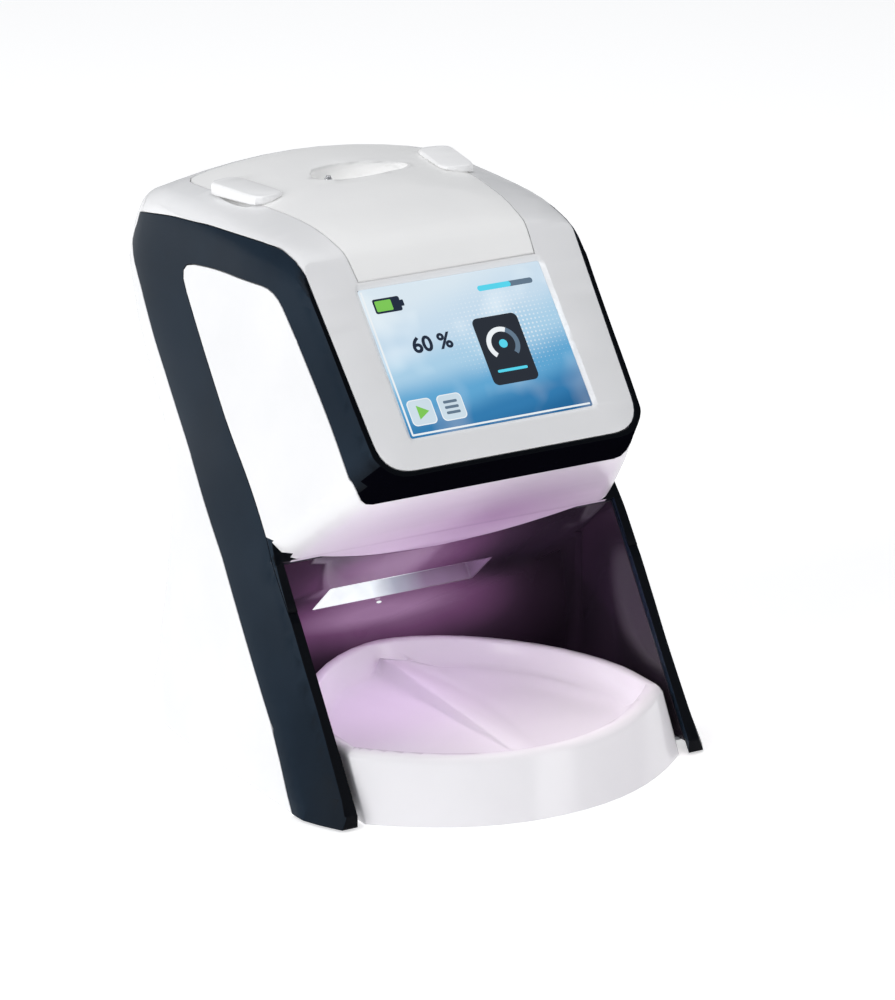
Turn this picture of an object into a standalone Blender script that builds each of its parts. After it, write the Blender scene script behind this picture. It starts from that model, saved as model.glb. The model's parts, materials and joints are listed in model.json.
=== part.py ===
# Phosphor plate scanner: a bench-top reader for imaging plates.
# Metres, +Z up, front towards -Y, origin on the floor below the middle of the box.
#
# The outer form is one lofted body. Its skin is cut into the casing pieces, so that
# neighbouring pieces stay flush, with one seam between them. The plate path behind the
# casing runs from the well in the top cover down to the slot over the receiving tray.

import bisect
import math

import bmesh
import bpy
from mathutils import Matrix, Vector

# Overall sizes
BODY_HEIGHT = 0.2822
BODY_DEPTH = 0.3096
FOOT_HALF_WIDTH = 0.1167
WALL = 0.0028
SEAM = 0.0005
CLEARANCE = 0.0003
OVERRUN = 0.012
FRAME_LIFT = 0.0012
HALF_DEPTH = BODY_DEPTH / 2

# Side profile, as shares of the half depth and of the height: the prow below the screen, the
# brow above it, the rear end of the slanted underside, and the arms' straight front edge
PROW_SHARES = (-0.68605, 0.61836)
BROW_SHARES = (-0.16189, 0.95500)
CEILING_END_SHARES = (0.32946, 0.11504)
ARM_TOP_SHARES = (-0.24548, 0.43941)
ARM_FOOT_SHARE = -0.78165
PROW_Y, PROW_Z = PROW_SHARES[0] * HALF_DEPTH, PROW_SHARES[1] * BODY_HEIGHT
BROW_Y, BROW_Z = BROW_SHARES[0] * HALF_DEPTH, BROW_SHARES[1] * BODY_HEIGHT
CEILING_END_Y, CEILING_END_Z = CEILING_END_SHARES[0] * HALF_DEPTH, CEILING_END_SHARES[1] * BODY_HEIGHT
ARM_TOP_Y, ARM_TOP_Z = ARM_TOP_SHARES[0] * HALF_DEPTH, ARM_TOP_SHARES[1] * BODY_HEIGHT
ARM_FOOT_Y = ARM_FOOT_SHARE * HALF_DEPTH
SCREEN_TILT = math.atan((BROW_Y - PROW_Y) / (BROW_Z - PROW_Z))
UNDERSIDE_FALL = math.atan((PROW_Z - CEILING_END_Z) / (CEILING_END_Y - PROW_Y))
ARM_FRONT_WALL = 0.0045
BROW_RADIUS = 0.034
HEAD_EDGE_RADIUS = 0.016

# Head plan: the sides draw in towards the screen, from a start and over a length in depth shares
HEAD_TAPER_SHARES = (0.12920, 0.77196)
HEAD_TAPER_WIDTH_SHARE = 0.16452
HEAD_BLEND_SHARES = (0.38979, 0.21261)

# Bay between the arms, with its rounded rear end
BAY_WIDTH_SHARE = 0.83290
BAY_MIDDLE_SHARE = -0.09044
BAY_HALF_WIDTH = BAY_WIDTH_SHARE * FOOT_HALF_WIDTH
BAY_MIDDLE_Y = BAY_MIDDLE_SHARE * HALF_DEPTH
BAY_REACH = CEILING_END_Y - BAY_MIDDLE_Y
BAY_STEP = 0.0003

# Screen
SCREEN_HEIGHT_SHARE = 0.78065
SCREEN_Z = SCREEN_HEIGHT_SHARE * BODY_HEIGHT
SCREEN_HALF = 0.0522
SCREEN_HALF_TALL = 0.0405
SCREEN_MARGIN = 0.0024
RECESS_DEPTH = 0.0016
GLASS_THICKNESS = 0.0011
MODULE_THICKNESS = 0.0065
MODULE_BORDER = 0.0022

# Bezel and lid: half widths as shares of the foot's, lid ends as shares of the half depth
BEZEL_WIDTH_SHARES = (0.67310, 0.63050)
BEZEL_TOP_HALF = BEZEL_WIDTH_SHARES[0] * FOOT_HALF_WIDTH
BEZEL_LOW_HALF = BEZEL_WIDTH_SHARES[1] * FOOT_HALF_WIDTH
BEZEL_CORNER = 0.018
BEZEL_LIP = 0.00273
BEZEL_FOOT = (SCREEN_Z - PROW_Z) / math.cos(SCREEN_TILT) - BEZEL_LIP
LID_END_SHARES = (-0.24419, 0.75500)
LID_WIDTH_SHARES = (0.43445, 0.51243)
LID_FRONT_Y, LID_REAR_Y = LID_END_SHARES[0] * HALF_DEPTH, LID_END_SHARES[1] * HALF_DEPTH
LID_FRONT_HALF, LID_HALF = LID_WIDTH_SHARES[0] * FOOT_HALF_WIDTH, LID_WIDTH_SHARES[1] * FOOT_HALF_WIDTH
LID_CORNER = 0.018
LID_CURVE = 0.30
# The lid's side edge: depth share, share of the lid's half width
LID_SIDE_SHARES = ((-0.120, 0.890), (0.080, 0.935), (0.260, 1.005), (0.430, 1.085), (0.560, 1.120))
LID_GAP = 0.0006

# Levels of the body: height share, half width share, rear depth share, squareness
LEVEL_SHARES = (
    (0.000, 1.000, 0.911, 2.6),
    (0.030, 0.996, 0.905, 2.55),
    (0.078, 0.985, 0.893, 2.5),
    (0.177, 0.967, 0.868, 2.45),
    (0.262, 0.948, 0.852, 2.4),
    (0.350, 0.925, 0.846, 2.4),
    (0.450, 0.895, 0.862, 2.6),
    (0.531, 0.866, 0.888, 3.0),
    (0.588, 0.847, 0.912, 3.7),
    (0.648, 0.824, 0.935, 5.0),
    (0.708, 0.801, 0.956, 7.0),
    (0.764, 0.778, 0.982, 9.0),
    (0.805, 0.763, 1.000, 10.5),
    (0.870, 0.744, 1.000, 9.0),
    (0.920, 0.735, 1.000, 8.0),
    (1.040, 0.722, 1.000, 8.0),
)
SIDE_MIDDLE_SHARE = 0.110

# The frame's rear edge seen from the side: height share, depth share
FRAME_REAR_SHARES = (
    (0.0, -0.606), (0.145, -0.368), (0.290, -0.128), (0.380, 0.022), (0.470, 0.200), (0.550, 0.358),
    (0.630, 0.520), (0.685, 0.631), (0.845, 0.926),
)
# How far the arm's face turns in at its front edge: height share, width share
ARM_TURN_SHARES = (
    (0.0, 0.114), (0.078, 0.102), (0.177, 0.090), (0.262, 0.070), (0.350, 0.049), (0.425, 0.036),
    (0.600, 0.034),
)
# The lid's edge line along the top: depth share, height share
EDGE_LINE_SHARES = (
    (-0.75, 0.700), (-0.244, 0.917), (-0.190, 0.939), (-0.116, 0.9535), (0.006, 0.9680), (0.168, 0.9750),
    (0.303, 0.9775), (0.500, 0.9780), (0.690, 0.9735), (0.790, 0.9635), (0.860, 0.9465), (0.915, 0.9230),
    (0.955, 0.8960), (0.985, 0.8580), (1.008, 0.8100), (1.060, 0.7000),
)
# Rise of the crown above that line: depth share, height share
CROWN_SHARES = (
    (-0.75, 0.0), (-0.244, 0.0), (-0.190, 0.0035), (-0.116, 0.0100), (0.006, 0.0160), (0.168, 0.0190),
    (0.303, 0.0210), (0.500, 0.0215), (0.690, 0.0215), (0.790, 0.0200), (0.880, 0.0170), (1.060, 0.0100),
)
CROWN_STATION_SHARES = (
    -0.75, -0.30, -0.244, -0.217, -0.190, -0.150, -0.116, -0.06, 0.006, 0.09, 0.168, 0.303,
    0.42, 0.55, 0.65, 0.73, 0.79, 0.84, 0.88, 0.915, 0.94, 0.965, 0.985, 1.008, 1.03, 1.06,
)
SHOULDER_RADIUS = 0.0075

# Casing regions, as outlines seen from the side
FRAME_TOP_SHARES = (
    (0.790, 0.9050), (0.600, 0.9245), (0.340, 0.9400), (0.060, 0.9500), (-0.125, 0.9480), (-0.210, 0.9240),
    (-0.300, 0.8900),
)
FRAME_CORNER = 0.0165
OUTLINE_CURVE = 0.30
FRAME_WRAP_SHARE = 0.71551
PANEL_CORNER_SHARES = (
    (0.545, 0.8480), (0.290, 0.8690), (-0.080, 0.8800), (-0.200, 0.8160), (-0.408, 0.6980), (-0.560, 0.5900),
)
PANEL_RADII = (0.009, OUTLINE_CURVE, 0.025, OUTLINE_CURVE, OUTLINE_CURVE, 0.012)
LEG_FRONT_SHARES = ((-0.210, 0.4460), (0.008, 0.5760), (0.376, 0.7580))
CHIN_FRONT_SHARE = -0.525
CHIN_ARC_RADIUS = 0.228
CHIN_ARC_SHARE = -0.18088
CHIN_ARC_Y = CHIN_ARC_SHARE * HALF_DEPTH
TOP_SEAM_SHARE = 0.825

# Lid with its well, catch and grips
WELL_X = 0.005
WELL_DEPTH_SHARE = 0.37468
WELL_Y = WELL_DEPTH_SHARE * HALF_DEPTH
WELL_HALF_LENGTH = 0.028
WELL_HALF_DEPTH = 0.0135
WELL_TAPER_SHARE = 0.30
WELL_DROP = 0.026
WELL_WALL = 0.0016
PLATE_SLOT_HALF = 0.0235
PLATE_SLOT_GAP = 0.0050
CATCH_OFFSET_X = 0.0150
CATCH_OFFSET_Y = 0.0065
CATCH_X = WELL_X - CATCH_OFFSET_X
CATCH_Y = WELL_Y + CATCH_OFFSET_Y
CATCH_RADIUS = 0.0022
CATCH_COLLAR = 0.0032
CATCH_COLLAR_HEIGHT = 0.0015
CATCH_SINK = 0.0050
GRIP_SHIFT = 0.0012
GRIP_OFFSET = 0.0045
GRIP_MIDDLE_X = LID_HALF - GRIP_SHIFT
GRIP_MIDDLE_Y = WELL_Y + GRIP_OFFSET
GRIP_TURN = math.radians(11)
GRIP_HALF_WIDTH = 0.0095
GRIP_HALF_LENGTH = 0.0210
GRIP_RISE = 0.0042
GRIP_CORNER = 0.0075
GRIP_EDGE = 0.0010
SCOOP_OUTSET = 0.0065
SCOOP_OFFSET = 0.0045
SCOOP_X = LID_HALF + SCOOP_OUTSET
SCOOP_Y = WELL_Y + SCOOP_OFFSET
SCOOP_HALF_WIDTH = 0.0050
SCOOP_HALF_LENGTH = 0.0190
SCOOP_DEPTH = 0.0034

# Exit slot over the tray, and the lit chute behind it
SLOT_HALF = 0.0485
SLOT_OFFSET = 0.0310
SLOT_RUN = 0.0205
SLOT_LOW_Y = BAY_MIDDLE_Y + SLOT_OFFSET
SLOT_HIGH_Y = SLOT_LOW_Y - SLOT_RUN
CHUTE_WALL = 0.0015
CHUTE_LENGTH = 0.040

# Receiving tray
TRAY_SIDE_GAP = 0.0049
TRAY_REAR_GAP = 0.0160
TRAY_HALF = BAY_HALF_WIDTH - TRAY_SIDE_GAP
TRAY_RIM_Z = 0.0335
TRAY_REAR_Y = BAY_MIDDLE_Y + BAY_REACH - TRAY_REAR_GAP
TRAY_REAR_SQUARENESS = 1.72
TRAY_BULGE_LOW = 0.0394
TRAY_BULGE_HIGH = 0.0465
TRAY_LEAN = 0.0118
TRAY_CORNER_LOW_Y = TRAY_BULGE_LOW - HALF_DEPTH
TRAY_CORNER_HIGH_Y = TRAY_BULGE_HIGH + TRAY_LEAN - HALF_DEPTH
TRAY_STRAIGHT = 0.0215
TRAY_REAR_START_Y = TRAY_CORNER_HIGH_Y + TRAY_STRAIGHT
TRAY_BULGE_SQUARENESS = 2.15
TRAY_EDGE = 0.0070
DISH_DEPTH = 0.0125
DISH_WALL_RUN = 0.0090
# How far the dish's wall has run out at each rise: run share, rise share
DISH_WALL_SHARES = ((1.0, 0.0), (0.55, 0.18), (0.18, 0.60), (0.0, 0.87))
RIDGE_X = -0.0060
RIDGE_RISE = 0.0085
RIDGE_RUN = 0.0340
RIDGE_LEDGE = 0.0040

# Base plate, feet and screws
BASE_TOP = 0.0062
BASE_THICKNESS = 0.0022
BASE_SETBACK = 0.0508
BASE_FRONT_Y = BASE_SETBACK - HALF_DEPTH
FOOT_PAD_RADIUS = 0.0085
FOOT_PAD_SHARES = (0.68552, 0.58140)
FOOT_PAD_INSET = 0.0180
FOOT_PAD_X = FOOT_PAD_SHARES[0] * FOOT_HALF_WIDTH
FOOT_PAD_FRONT_Y = BASE_FRONT_Y + FOOT_PAD_INSET
FOOT_PAD_REAR_Y = FOOT_PAD_SHARES[1] * HALF_DEPTH
SCREW_HEAD_RADIUS = 0.0032
SCREW_HEAD_HEIGHT = 0.0016
SCREW_OFFSET_X = 0.0240
SCREW_OFFSET_Y = 0.0155
SCREW_X = FOOT_PAD_X - SCREW_OFFSET_X
SCREW_FRONT_Y = FOOT_PAD_FRONT_Y + SCREW_OFFSET_Y
SCREW_REAR_Y = FOOT_PAD_REAR_Y + SCREW_OFFSET_Y

# Connector panel, let into the rear wall
PANEL_HALF = 0.0380
PANEL_LOW_Z = 0.0240
PANEL_HIGH_Z = 0.0640
PANEL_DEPTH_SHARE = 0.83010
PANEL_Y = PANEL_DEPTH_SHARE * HALF_DEPTH
PANEL_THICKNESS = 0.0018
PANEL_RIM = 0.0026

# Chassis and plate drive behind the casing
CHASSIS_HALF = 0.0620
CHASSIS_SHEET = 0.0020
CHASSIS_SETBACK = 0.0225
CHASSIS_BAY_GAP = 0.0130
CHASSIS_BACK_Y = PANEL_Y - CHASSIS_SETBACK
CHASSIS_FRONT_Y = CEILING_END_Y + CHASSIS_BAY_GAP
ROD_X = 0.0340
ROD_STANDOFF = 0.0140
ROD_Y = CHASSIS_BACK_Y - ROD_STANDOFF
SHELF_OVERHANG = 0.0120
SHELF_FRONT_Y = ROD_Y - SHELF_OVERHANG
# Heights of the two shelves, of the optics rail and of the resting carriage
SHELF_SHARES = (0.36853, 0.88590)
RAIL_SHARE = 0.48901
CARRIAGE_SHARE = 0.75478
LOW_SHELF_Z, HIGH_SHELF_Z = SHELF_SHARES[0] * BODY_HEIGHT, SHELF_SHARES[1] * BODY_HEIGHT
RAIL_X = 0.0480
RAIL_THICKNESS = 0.0030
RAIL_HEIGHT = 0.0120
RAIL_LOW_Z = RAIL_SHARE * BODY_HEIGHT
RAIL_HIGH_Z = RAIL_LOW_Z + RAIL_HEIGHT
ROD_RADIUS = 0.0030
LEAD_SCREW_RADIUS = 0.0040
LEAD_SCREW_HOLE = 0.0060
MOTOR_HALF = 0.0126
MOTOR_CORNER = 0.0040
MOTOR_HEIGHT = 0.0300
CARRIAGE_HALF = 0.0440
CARRIAGE_HALF_DEPTH = 0.0080
CARRIAGE_HEIGHT = 0.0180
CARRIAGE_REST_Z = CARRIAGE_SHARE * BODY_HEIGHT
CRADLE_Y = WELL_Y
CRADLE_HALF = 0.0200
CRADLE_HEIGHT = 0.0260
CRADLE_SHEET = 0.0015

# Optics and boards
LASER_HALF = 0.0500
LASER_DEPTH = 0.0280
LASER_PLATE_GAP = 0.0090
LASER_HIGH_Y = CRADLE_Y - LASER_PLATE_GAP
LASER_LOW_Y = LASER_HIGH_Y - LASER_DEPTH
RAIL_FRONT_Y = LASER_LOW_Y - CHASSIS_SHEET / 2
LASER_HEIGHT = 0.0280
LASER_SLIT_HEIGHT = 0.0030
LASER_SLIT_DEPTH = 0.0060
TUBE_RADIUS = 0.0120
TUBE_HALF_LENGTH = 0.0400
ERASER_DEPTH = 0.0140
ERASER_HEIGHT = 0.0110
BOARD_HALF = 0.0540
BOARD_HEIGHT = 0.0900
BOARD_RISE = 0.0110
BOARD_LOW_Z = LOW_SHELF_Z + BOARD_RISE
BOARD_HIGH_Z = BOARD_LOW_Z + BOARD_HEIGHT
BOARD_THICKNESS = 0.0016
SUPPLY_WIDTH = 0.0430
SUPPLY_GAP = 0.0040
SUPPLY_DEPTH = CHASSIS_BACK_Y - CHASSIS_FRONT_Y - SUPPLY_GAP
SUPPLY_LEFT_X = -MOTOR_HALF - SUPPLY_GAP - SUPPLY_WIDTH
SUPPLY_HEIGHT = 0.0500

# Connectors at the rear
SOCKET_Z = 0.0360
SOCKET_STANDOUT = 0.0008
SOCKET_BODY_DEPTH = 0.0110
SOCKET_HOLE_DEPTH = 0.0085
INLET_X = -0.0220
INLET_HALF_WIDTH = 0.0105
INLET_HALF_HEIGHT = 0.0090
NETWORK_X = 0.0285
NETWORK_HALF_WIDTH = 0.0080
NETWORK_HALF_HEIGHT = 0.0070
USB_X = 0.0100
USB_HALF_WIDTH = 0.0066
USB_HALF_HEIGHT = 0.0036
SOCKET_RIM = 0.0014
SWITCH_X = -0.0220
SWITCH_Z = 0.0548
SWITCH_HALF_WIDTH = 0.0095
SWITCH_HALF_HEIGHT = 0.0050
SWITCH_BEZEL = 0.0014
ROCKER_TILT = math.radians(8)
ROCKER_BODY = 0.0060
ROCKER_CROWN = 0.0012

MATERIALS = {}


def material(name, colour, roughness, metallic=0.0, transmission=0.0):
    """One Principled material, made once for each name."""
    if name not in MATERIALS:
        made = bpy.data.materials.new(name)
        made.use_nodes = True
        shader = made.node_tree.nodes["Principled BSDF"]
        shader.inputs["Base Color"].default_value = (*colour, 1.0)
        shader.inputs["Roughness"].default_value = roughness
        shader.inputs["Metallic"].default_value = metallic
        shader.inputs["Transmission Weight"].default_value = transmission
        MATERIALS[name] = made
    return MATERIALS[name]


def smooth_value(rows, key, column=1):
    """Reads a table at key along a monotone cubic through its rows."""
    keys = [row[0] for row in rows]
    values = [row[column] for row in rows]
    if key <= keys[0]:
        return values[0]
    if key >= keys[-1]:
        return values[-1]
    spans = [b - a for a, b in zip(keys, keys[1:])]
    slopes = [(b - a) / span for a, b, span in zip(values, values[1:], spans)]
    tangents = [slopes[0]]
    for left, right in zip(slopes, slopes[1:]):
        tangents.append(0.0 if left * right <= 0 else 2 * left * right / (left + right))
    tangents.append(slopes[-1])
    index = min(bisect.bisect_right(keys, key), len(keys) - 1) - 1
    part = (key - keys[index]) / spans[index]
    ease = part * part * (3 - 2 * part)
    rise = (part ** 3 - 2 * part ** 2 + part) * tangents[index]
    rise += (part ** 3 - part ** 2) * tangents[index + 1]
    return values[index] + ease * (values[index + 1] - values[index]) + rise * spans[index]


def smooth_step(value):
    value = min(max(value, 0.0), 1.0)
    return value * value * (3 - 2 * value)


def frame_rear_y(z):
    return smooth_value(FRAME_REAR_SHARES, z / BODY_HEIGHT) * HALF_DEPTH


def arm_front_y(z):
    return ARM_FOOT_Y + (ARM_TOP_Y - ARM_FOOT_Y) * z / ARM_TOP_Z


def underside_z(y):
    return PROW_Z - (y - PROW_Y) * math.tan(UNDERSIDE_FALL)


def chin_meet_y():
    """Where the arms' front edge meets the underside."""
    lean = (ARM_TOP_Y - ARM_FOOT_Y) / ARM_TOP_Z
    fall = math.tan(UNDERSIDE_FALL)
    return (ARM_FOOT_Y + lean * (PROW_Z + PROW_Y * fall)) / (1 + lean * fall)


def face_y(z):
    """The screen face's plane."""
    return PROW_Y + (z - PROW_Z) * math.tan(SCREEN_TILT)


def half_width(y, z):
    """Half width of the body's side surface, ahead of the rear corners."""
    level = z / BODY_HEIGHT
    widest = smooth_value(LEVEL_SHARES, level) * FOOT_HALF_WIDTH
    rear = frame_rear_y(z)
    along = min(max((rear - y) / (rear - arm_front_y(z)), 0.0), 1.5)
    arm = smooth_value(ARM_TURN_SHARES, level) * FOOT_HALF_WIDTH * along ** 1.3
    start, length = HEAD_TAPER_SHARES
    along = min(max((start - y / HALF_DEPTH) / length, 0.0), 1.3)
    head = HEAD_TAPER_WIDTH_SHARE * FOOT_HALF_WIDTH * along ** 1.6
    low, rise = HEAD_BLEND_SHARES
    return widest - arm + (arm - head) * smooth_step((level - low) / rise)


def rear_y(z):
    return smooth_value(LEVEL_SHARES, z / BODY_HEIGHT, 2) * HALF_DEPTH


def plan_half_width(y, z):
    """Half width of the body, rear corners included."""
    middle = SIDE_MIDDLE_SHARE * HALF_DEPTH
    if y <= middle:
        return half_width(y, z)
    square = smooth_value(LEVEL_SHARES, z / BODY_HEIGHT, 3)
    reach = min((y - middle) / (rear_y(z) - middle), 0.985)
    return half_width(y, z) * (1 - reach ** square) ** (1 / square)


def edge_z(y):
    return smooth_value(EDGE_LINE_SHARES, y / HALF_DEPTH) * BODY_HEIGHT


def top_z(x, y):
    """The crowned top surface, without its rolled shoulders."""
    crown = smooth_value(CROWN_SHARES, y / HALF_DEPTH) * BODY_HEIGHT
    return edge_z(y) + crown * (1 - (x / LID_HALF) ** 2)


def new_object(name, mesh, finish=None):
    made = bpy.data.objects.new(name, mesh)
    bpy.context.scene.collection.objects.link(made)
    if finish is not None:
        mesh.materials.append(finish)
    return made


def mesh_object(name, points, faces, finish=None):
    mesh = bpy.data.meshes.new(name)
    mesh.from_pydata([tuple(point) for point in points], [], faces)
    shape = bmesh.new()
    shape.from_mesh(mesh)
    bmesh.ops.recalc_face_normals(shape, faces=shape.faces)
    shape.to_mesh(mesh)
    shape.free()
    return new_object(name, mesh, finish)


def loft(name, loops, finish=None):
    """Closed solid through loops of equal count, capped at both ends."""
    count = len(loops[0])
    points = [point for loop in loops for point in loop]
    faces = []
    for level in range(len(loops) - 1):
        for index in range(count):
            after = (index + 1) % count
            faces.append((level * count + index, level * count + after,
                          (level + 1) * count + after, (level + 1) * count + index))
    faces.append(tuple(range(count)))
    faces.append(tuple((len(loops) - 1) * count + index for index in range(count)))
    return mesh_object(name, points, faces, finish)


def prism(name, outline, low, high, axis="Z", finish=None):
    """A flat outline drawn out along one axis: (y, z) for X, (x, z) for Y, (x, y) for Z."""
    order = {"X": (2, 0, 1), "Y": (0, 2, 1), "Z": (0, 1, 2)}[axis]
    loops = []
    for end in (low, high):
        loops.append([tuple((a, b, end)[index] for index in order) for a, b in outline])
    return loft(name, loops, finish)


def box(name, low, high, finish=None):
    outline = ((low[0], low[1]), (high[0], low[1]), (high[0], high[1]), (low[0], high[1]))
    return prism(name, outline, low[2], high[2], "Z", finish)


def round_corners(corners, steps=6):
    """Outline through (a, b, radius) corners, each turned into an arc of its own radius."""
    outline = []
    count = len(corners)
    for index, (a, b, radius) in enumerate(corners):
        here = Vector((a, b))
        if radius <= 0:
            outline.append((a, b))
            continue
        before = (Vector(corners[index - 1][:2]) - here)
        after = (Vector(corners[(index + 1) % count][:2]) - here)
        angle = before.angle(after)
        cut = min(radius / math.tan(angle / 2), 0.49 * before.length, 0.49 * after.length)
        start = here + before.normalized() * cut
        end = here + after.normalized() * cut
        for step in range(steps + 1):
            part = step / steps
            spot = start * (1 - part) ** 2 + here * 2 * part * (1 - part) + end * part ** 2
            outline.append((spot.x, spot.y))
    return outline


def cylinder(name, centre, radius, length, axis="Z", sides=24, finish=None, end_radius=None):
    """A round bar that starts at centre and runs along an axis."""
    shape = bmesh.new()
    bmesh.ops.create_cone(shape, cap_ends=True, segments=sides, radius1=radius,
                          radius2=radius if end_radius is None else end_radius, depth=length)
    bmesh.ops.translate(shape, verts=shape.verts, vec=(0, 0, length / 2))
    turn = {"X": Matrix.Rotation(math.pi / 2, 4, "Y"), "Y": Matrix.Rotation(-math.pi / 2, 4, "X"),
            "Z": Matrix.Identity(4)}[axis]
    bmesh.ops.transform(shape, matrix=Matrix.Translation(centre) @ turn, verts=shape.verts)
    mesh = bpy.data.meshes.new(name)
    shape.to_mesh(mesh)
    shape.free()
    return new_object(name, mesh, finish)


def place(thing, spot):
    """Puts a piece's origin at a point of its joint, with its shape left where it is."""
    thing.data.transform(Matrix.Translation(-Vector(spot)))
    thing.location = spot
    return thing


def copy_of(source, name):
    return new_object(name, source.data.copy())


def drop(*things):
    for thing in things:
        bpy.data.objects.remove(thing, do_unlink=True)


def settle(thing):
    """Replaces an object's mesh by its evaluated one."""
    bpy.context.view_layer.update()
    view = bpy.context.evaluated_depsgraph_get()
    mesh = bpy.data.meshes.new_from_object(thing.evaluated_get(view))
    thing.modifiers.clear()
    thing.data = mesh


def combine(thing, tool, operation, keep=False):
    step = thing.modifiers.new(operation.lower(), "BOOLEAN")
    step.operation = operation
    step.solver = "EXACT"
    step.object = tool
    settle(thing)
    if not keep:
        drop(tool)
    return thing


def cut(thing, tool, keep=False):
    return combine(thing, tool, "DIFFERENCE", keep)


def crop(thing, tool, keep=False):
    return combine(thing, tool, "INTERSECT", keep)


def join(thing, tool, keep=False):
    return combine(thing, tool, "UNION", keep)


def clean(thing, finish, sharp=35):
    """Merges the cut's slivers, sets the finish and the smooth shading."""
    shape = bmesh.new()
    shape.from_mesh(thing.data)
    bmesh.ops.remove_doubles(shape, verts=shape.verts, dist=CLEARANCE / 30)
    bmesh.ops.dissolve_degenerate(shape, edges=shape.edges, dist=CLEARANCE / 30)
    shape.to_mesh(thing.data)
    shape.free()
    thing.data.materials.clear()
    thing.data.materials.append(finish)
    thing.data.shade_smooth()
    thing.data.set_sharp_from_angle(angle=math.radians(sharp))
    return thing


# Body form

def side_loft(inset):
    """The body's sides and rear wall, level by level, moved in by inset."""
    middle = SIDE_MIDDLE_SHARE * HALF_DEPTH
    front = -HALF_DEPTH
    loops = []
    for share, _, _, square in LEVEL_SHARES:
        z = share * BODY_HEIGHT
        if share == 0.0:
            z = -OVERRUN if inset > 0 else FRAME_LIFT
        level = max(z, 0.0)
        side = []
        for step in range(17):
            y = front + (middle - front) * step / 17
            side.append((half_width(y, level) - inset, y, z))
        reach = rear_y(level) - inset - middle
        wide = half_width(middle, level) - inset
        for step in range(13):
            angle = math.pi / 2 * step / 13
            x = wide * math.cos(angle) ** (2 / square)
            y = middle + reach * math.sin(angle) ** (2 / square)
            side.append((x, y, z))
        mirrored = [(-x, y, z) for x, y, z in reversed(side)]
        loops.append(side + [(0.0, middle + reach, z)] + mirrored)
    return loft("side_loft", loops)


def crown_solid(inset):
    """Everything below the crowned top, whose shoulders roll down to the sides."""
    rows = []
    radius = SHOULDER_RADIUS
    for station in CROWN_STATION_SHARES:
        y = station * HALF_DEPTH
        wide = plan_half_width(y, edge_z(y)) - inset
        row = []
        for part in (0.0, 0.22, 0.45, 0.66, 0.84, 1.0):
            x = (wide - radius) * part
            row.append((x, top_z(x, y)))
        for turn in (22, 42, 58, 70):
            angle = math.radians(turn)
            x = wide - radius + radius * math.sin(angle)
            row.append((x, top_z(x, y) - radius * (1 - math.cos(angle))))
        row.append((wide + OVERRUN, row[-1][1] - OVERRUN * 2))
        row.append((FOOT_HALF_WIDTH + OVERRUN * 2, row[-1][1] - OVERRUN * 3))
        half = [(x, y, z - inset) for x, z in row]
        floor = [(half[-1][0], y, -OVERRUN * 2)]
        right = half + floor
        rows.append([(-x, yy, z) for x, yy, z in reversed(right[1:])] + right)
    return loft("crown_solid", rows)


def face_cutter(inset):
    """Space ahead of the screen face, with the brow rolled over to the top."""
    sine, cosine = math.sin(SCREEN_TILT), math.cos(SCREEN_TILT)
    back_y, back_z = cosine * inset, -sine * inset
    high = BODY_HEIGHT * 1.2
    low_y, low_z = PROW_Y - sine * OVERRUN * 4, PROW_Z - cosine * OVERRUN * 4
    top_y = face_y(BODY_HEIGHT * 1.0)
    corners = (
        (low_y + back_y, low_z + back_z, 0),
        (BROW_Y + back_y, BROW_Z + back_z, BROW_RADIUS),
        (top_y + HALF_DEPTH * 0.40, BODY_HEIGHT * 1.012, 0),
        (top_y + HALF_DEPTH * 0.40, high, 0),
        (-HALF_DEPTH * 1.4, high, 0),
        (-HALF_DEPTH * 1.4, low_z, 0),
    )
    return prism("face_cutter", round_corners(corners, 8), -HALF_DEPTH, HALF_DEPTH, "X")


def underside_cutter(inset, edge_inset):
    """Space below the head's slanted underside, ahead of the arms."""
    sine, cosine = math.sin(UNDERSIDE_FALL), math.cos(UNDERSIDE_FALL)
    radius = max(HEAD_EDGE_RADIUS - inset, CLEARANCE)
    length = (ARM_TOP_Y - PROW_Y) / cosine
    rows = []
    for step in range(-2, 10):
        along = length * step / 6
        y = PROW_Y + along * cosine + sine * inset
        z = PROW_Z - along * sine + cosine * inset
        wide = half_width(y, z) - inset
        row = [((wide - radius) * part, 0.0) for part in (0.0, 0.5, 1.0)]
        for turn in (15, 30, 45, 60, 72):
            angle = math.radians(turn)
            up = radius * (1 - math.cos(angle))
            here = half_width(y + sine * up, z + cosine * up) - inset
            row.append((here - radius * (1 - math.sin(angle)), up))
        row.append((wide + OVERRUN, radius + OVERRUN * 2.2))
        row.append((wide + OVERRUN, -HALF_DEPTH * 1.1))
        half = [(x, y + sine * up, z + cosine * up) for x, up in row]
        rows.append([(-x, yy, zz) for x, yy, zz in reversed(half[1:])] + half)
    solid = loft("underside_cutter", rows)
    low, high = -OVERRUN * 3, PROW_Z * 1.3
    outline = (
        (arm_front_y(low) + edge_inset, low),
        (arm_front_y(high) + edge_inset, high),
        (-HALF_DEPTH * 1.6, high),
        (-HALF_DEPTH * 1.6, low),
    )
    return crop(solid, prism("ahead", outline, -HALF_DEPTH, HALF_DEPTH, "X"))


def bay_outline(grow):
    half = BAY_HALF_WIDTH + grow
    reach = BAY_REACH + grow
    outline = [(half, -HALF_DEPTH * 1.3)]
    for step in range(25):
        angle = math.pi * step / 24
        outline.append((half * math.cos(angle), BAY_MIDDLE_Y + reach * math.sin(angle)))
    outline.append((-half, -HALF_DEPTH * 1.3))
    return outline


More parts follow.
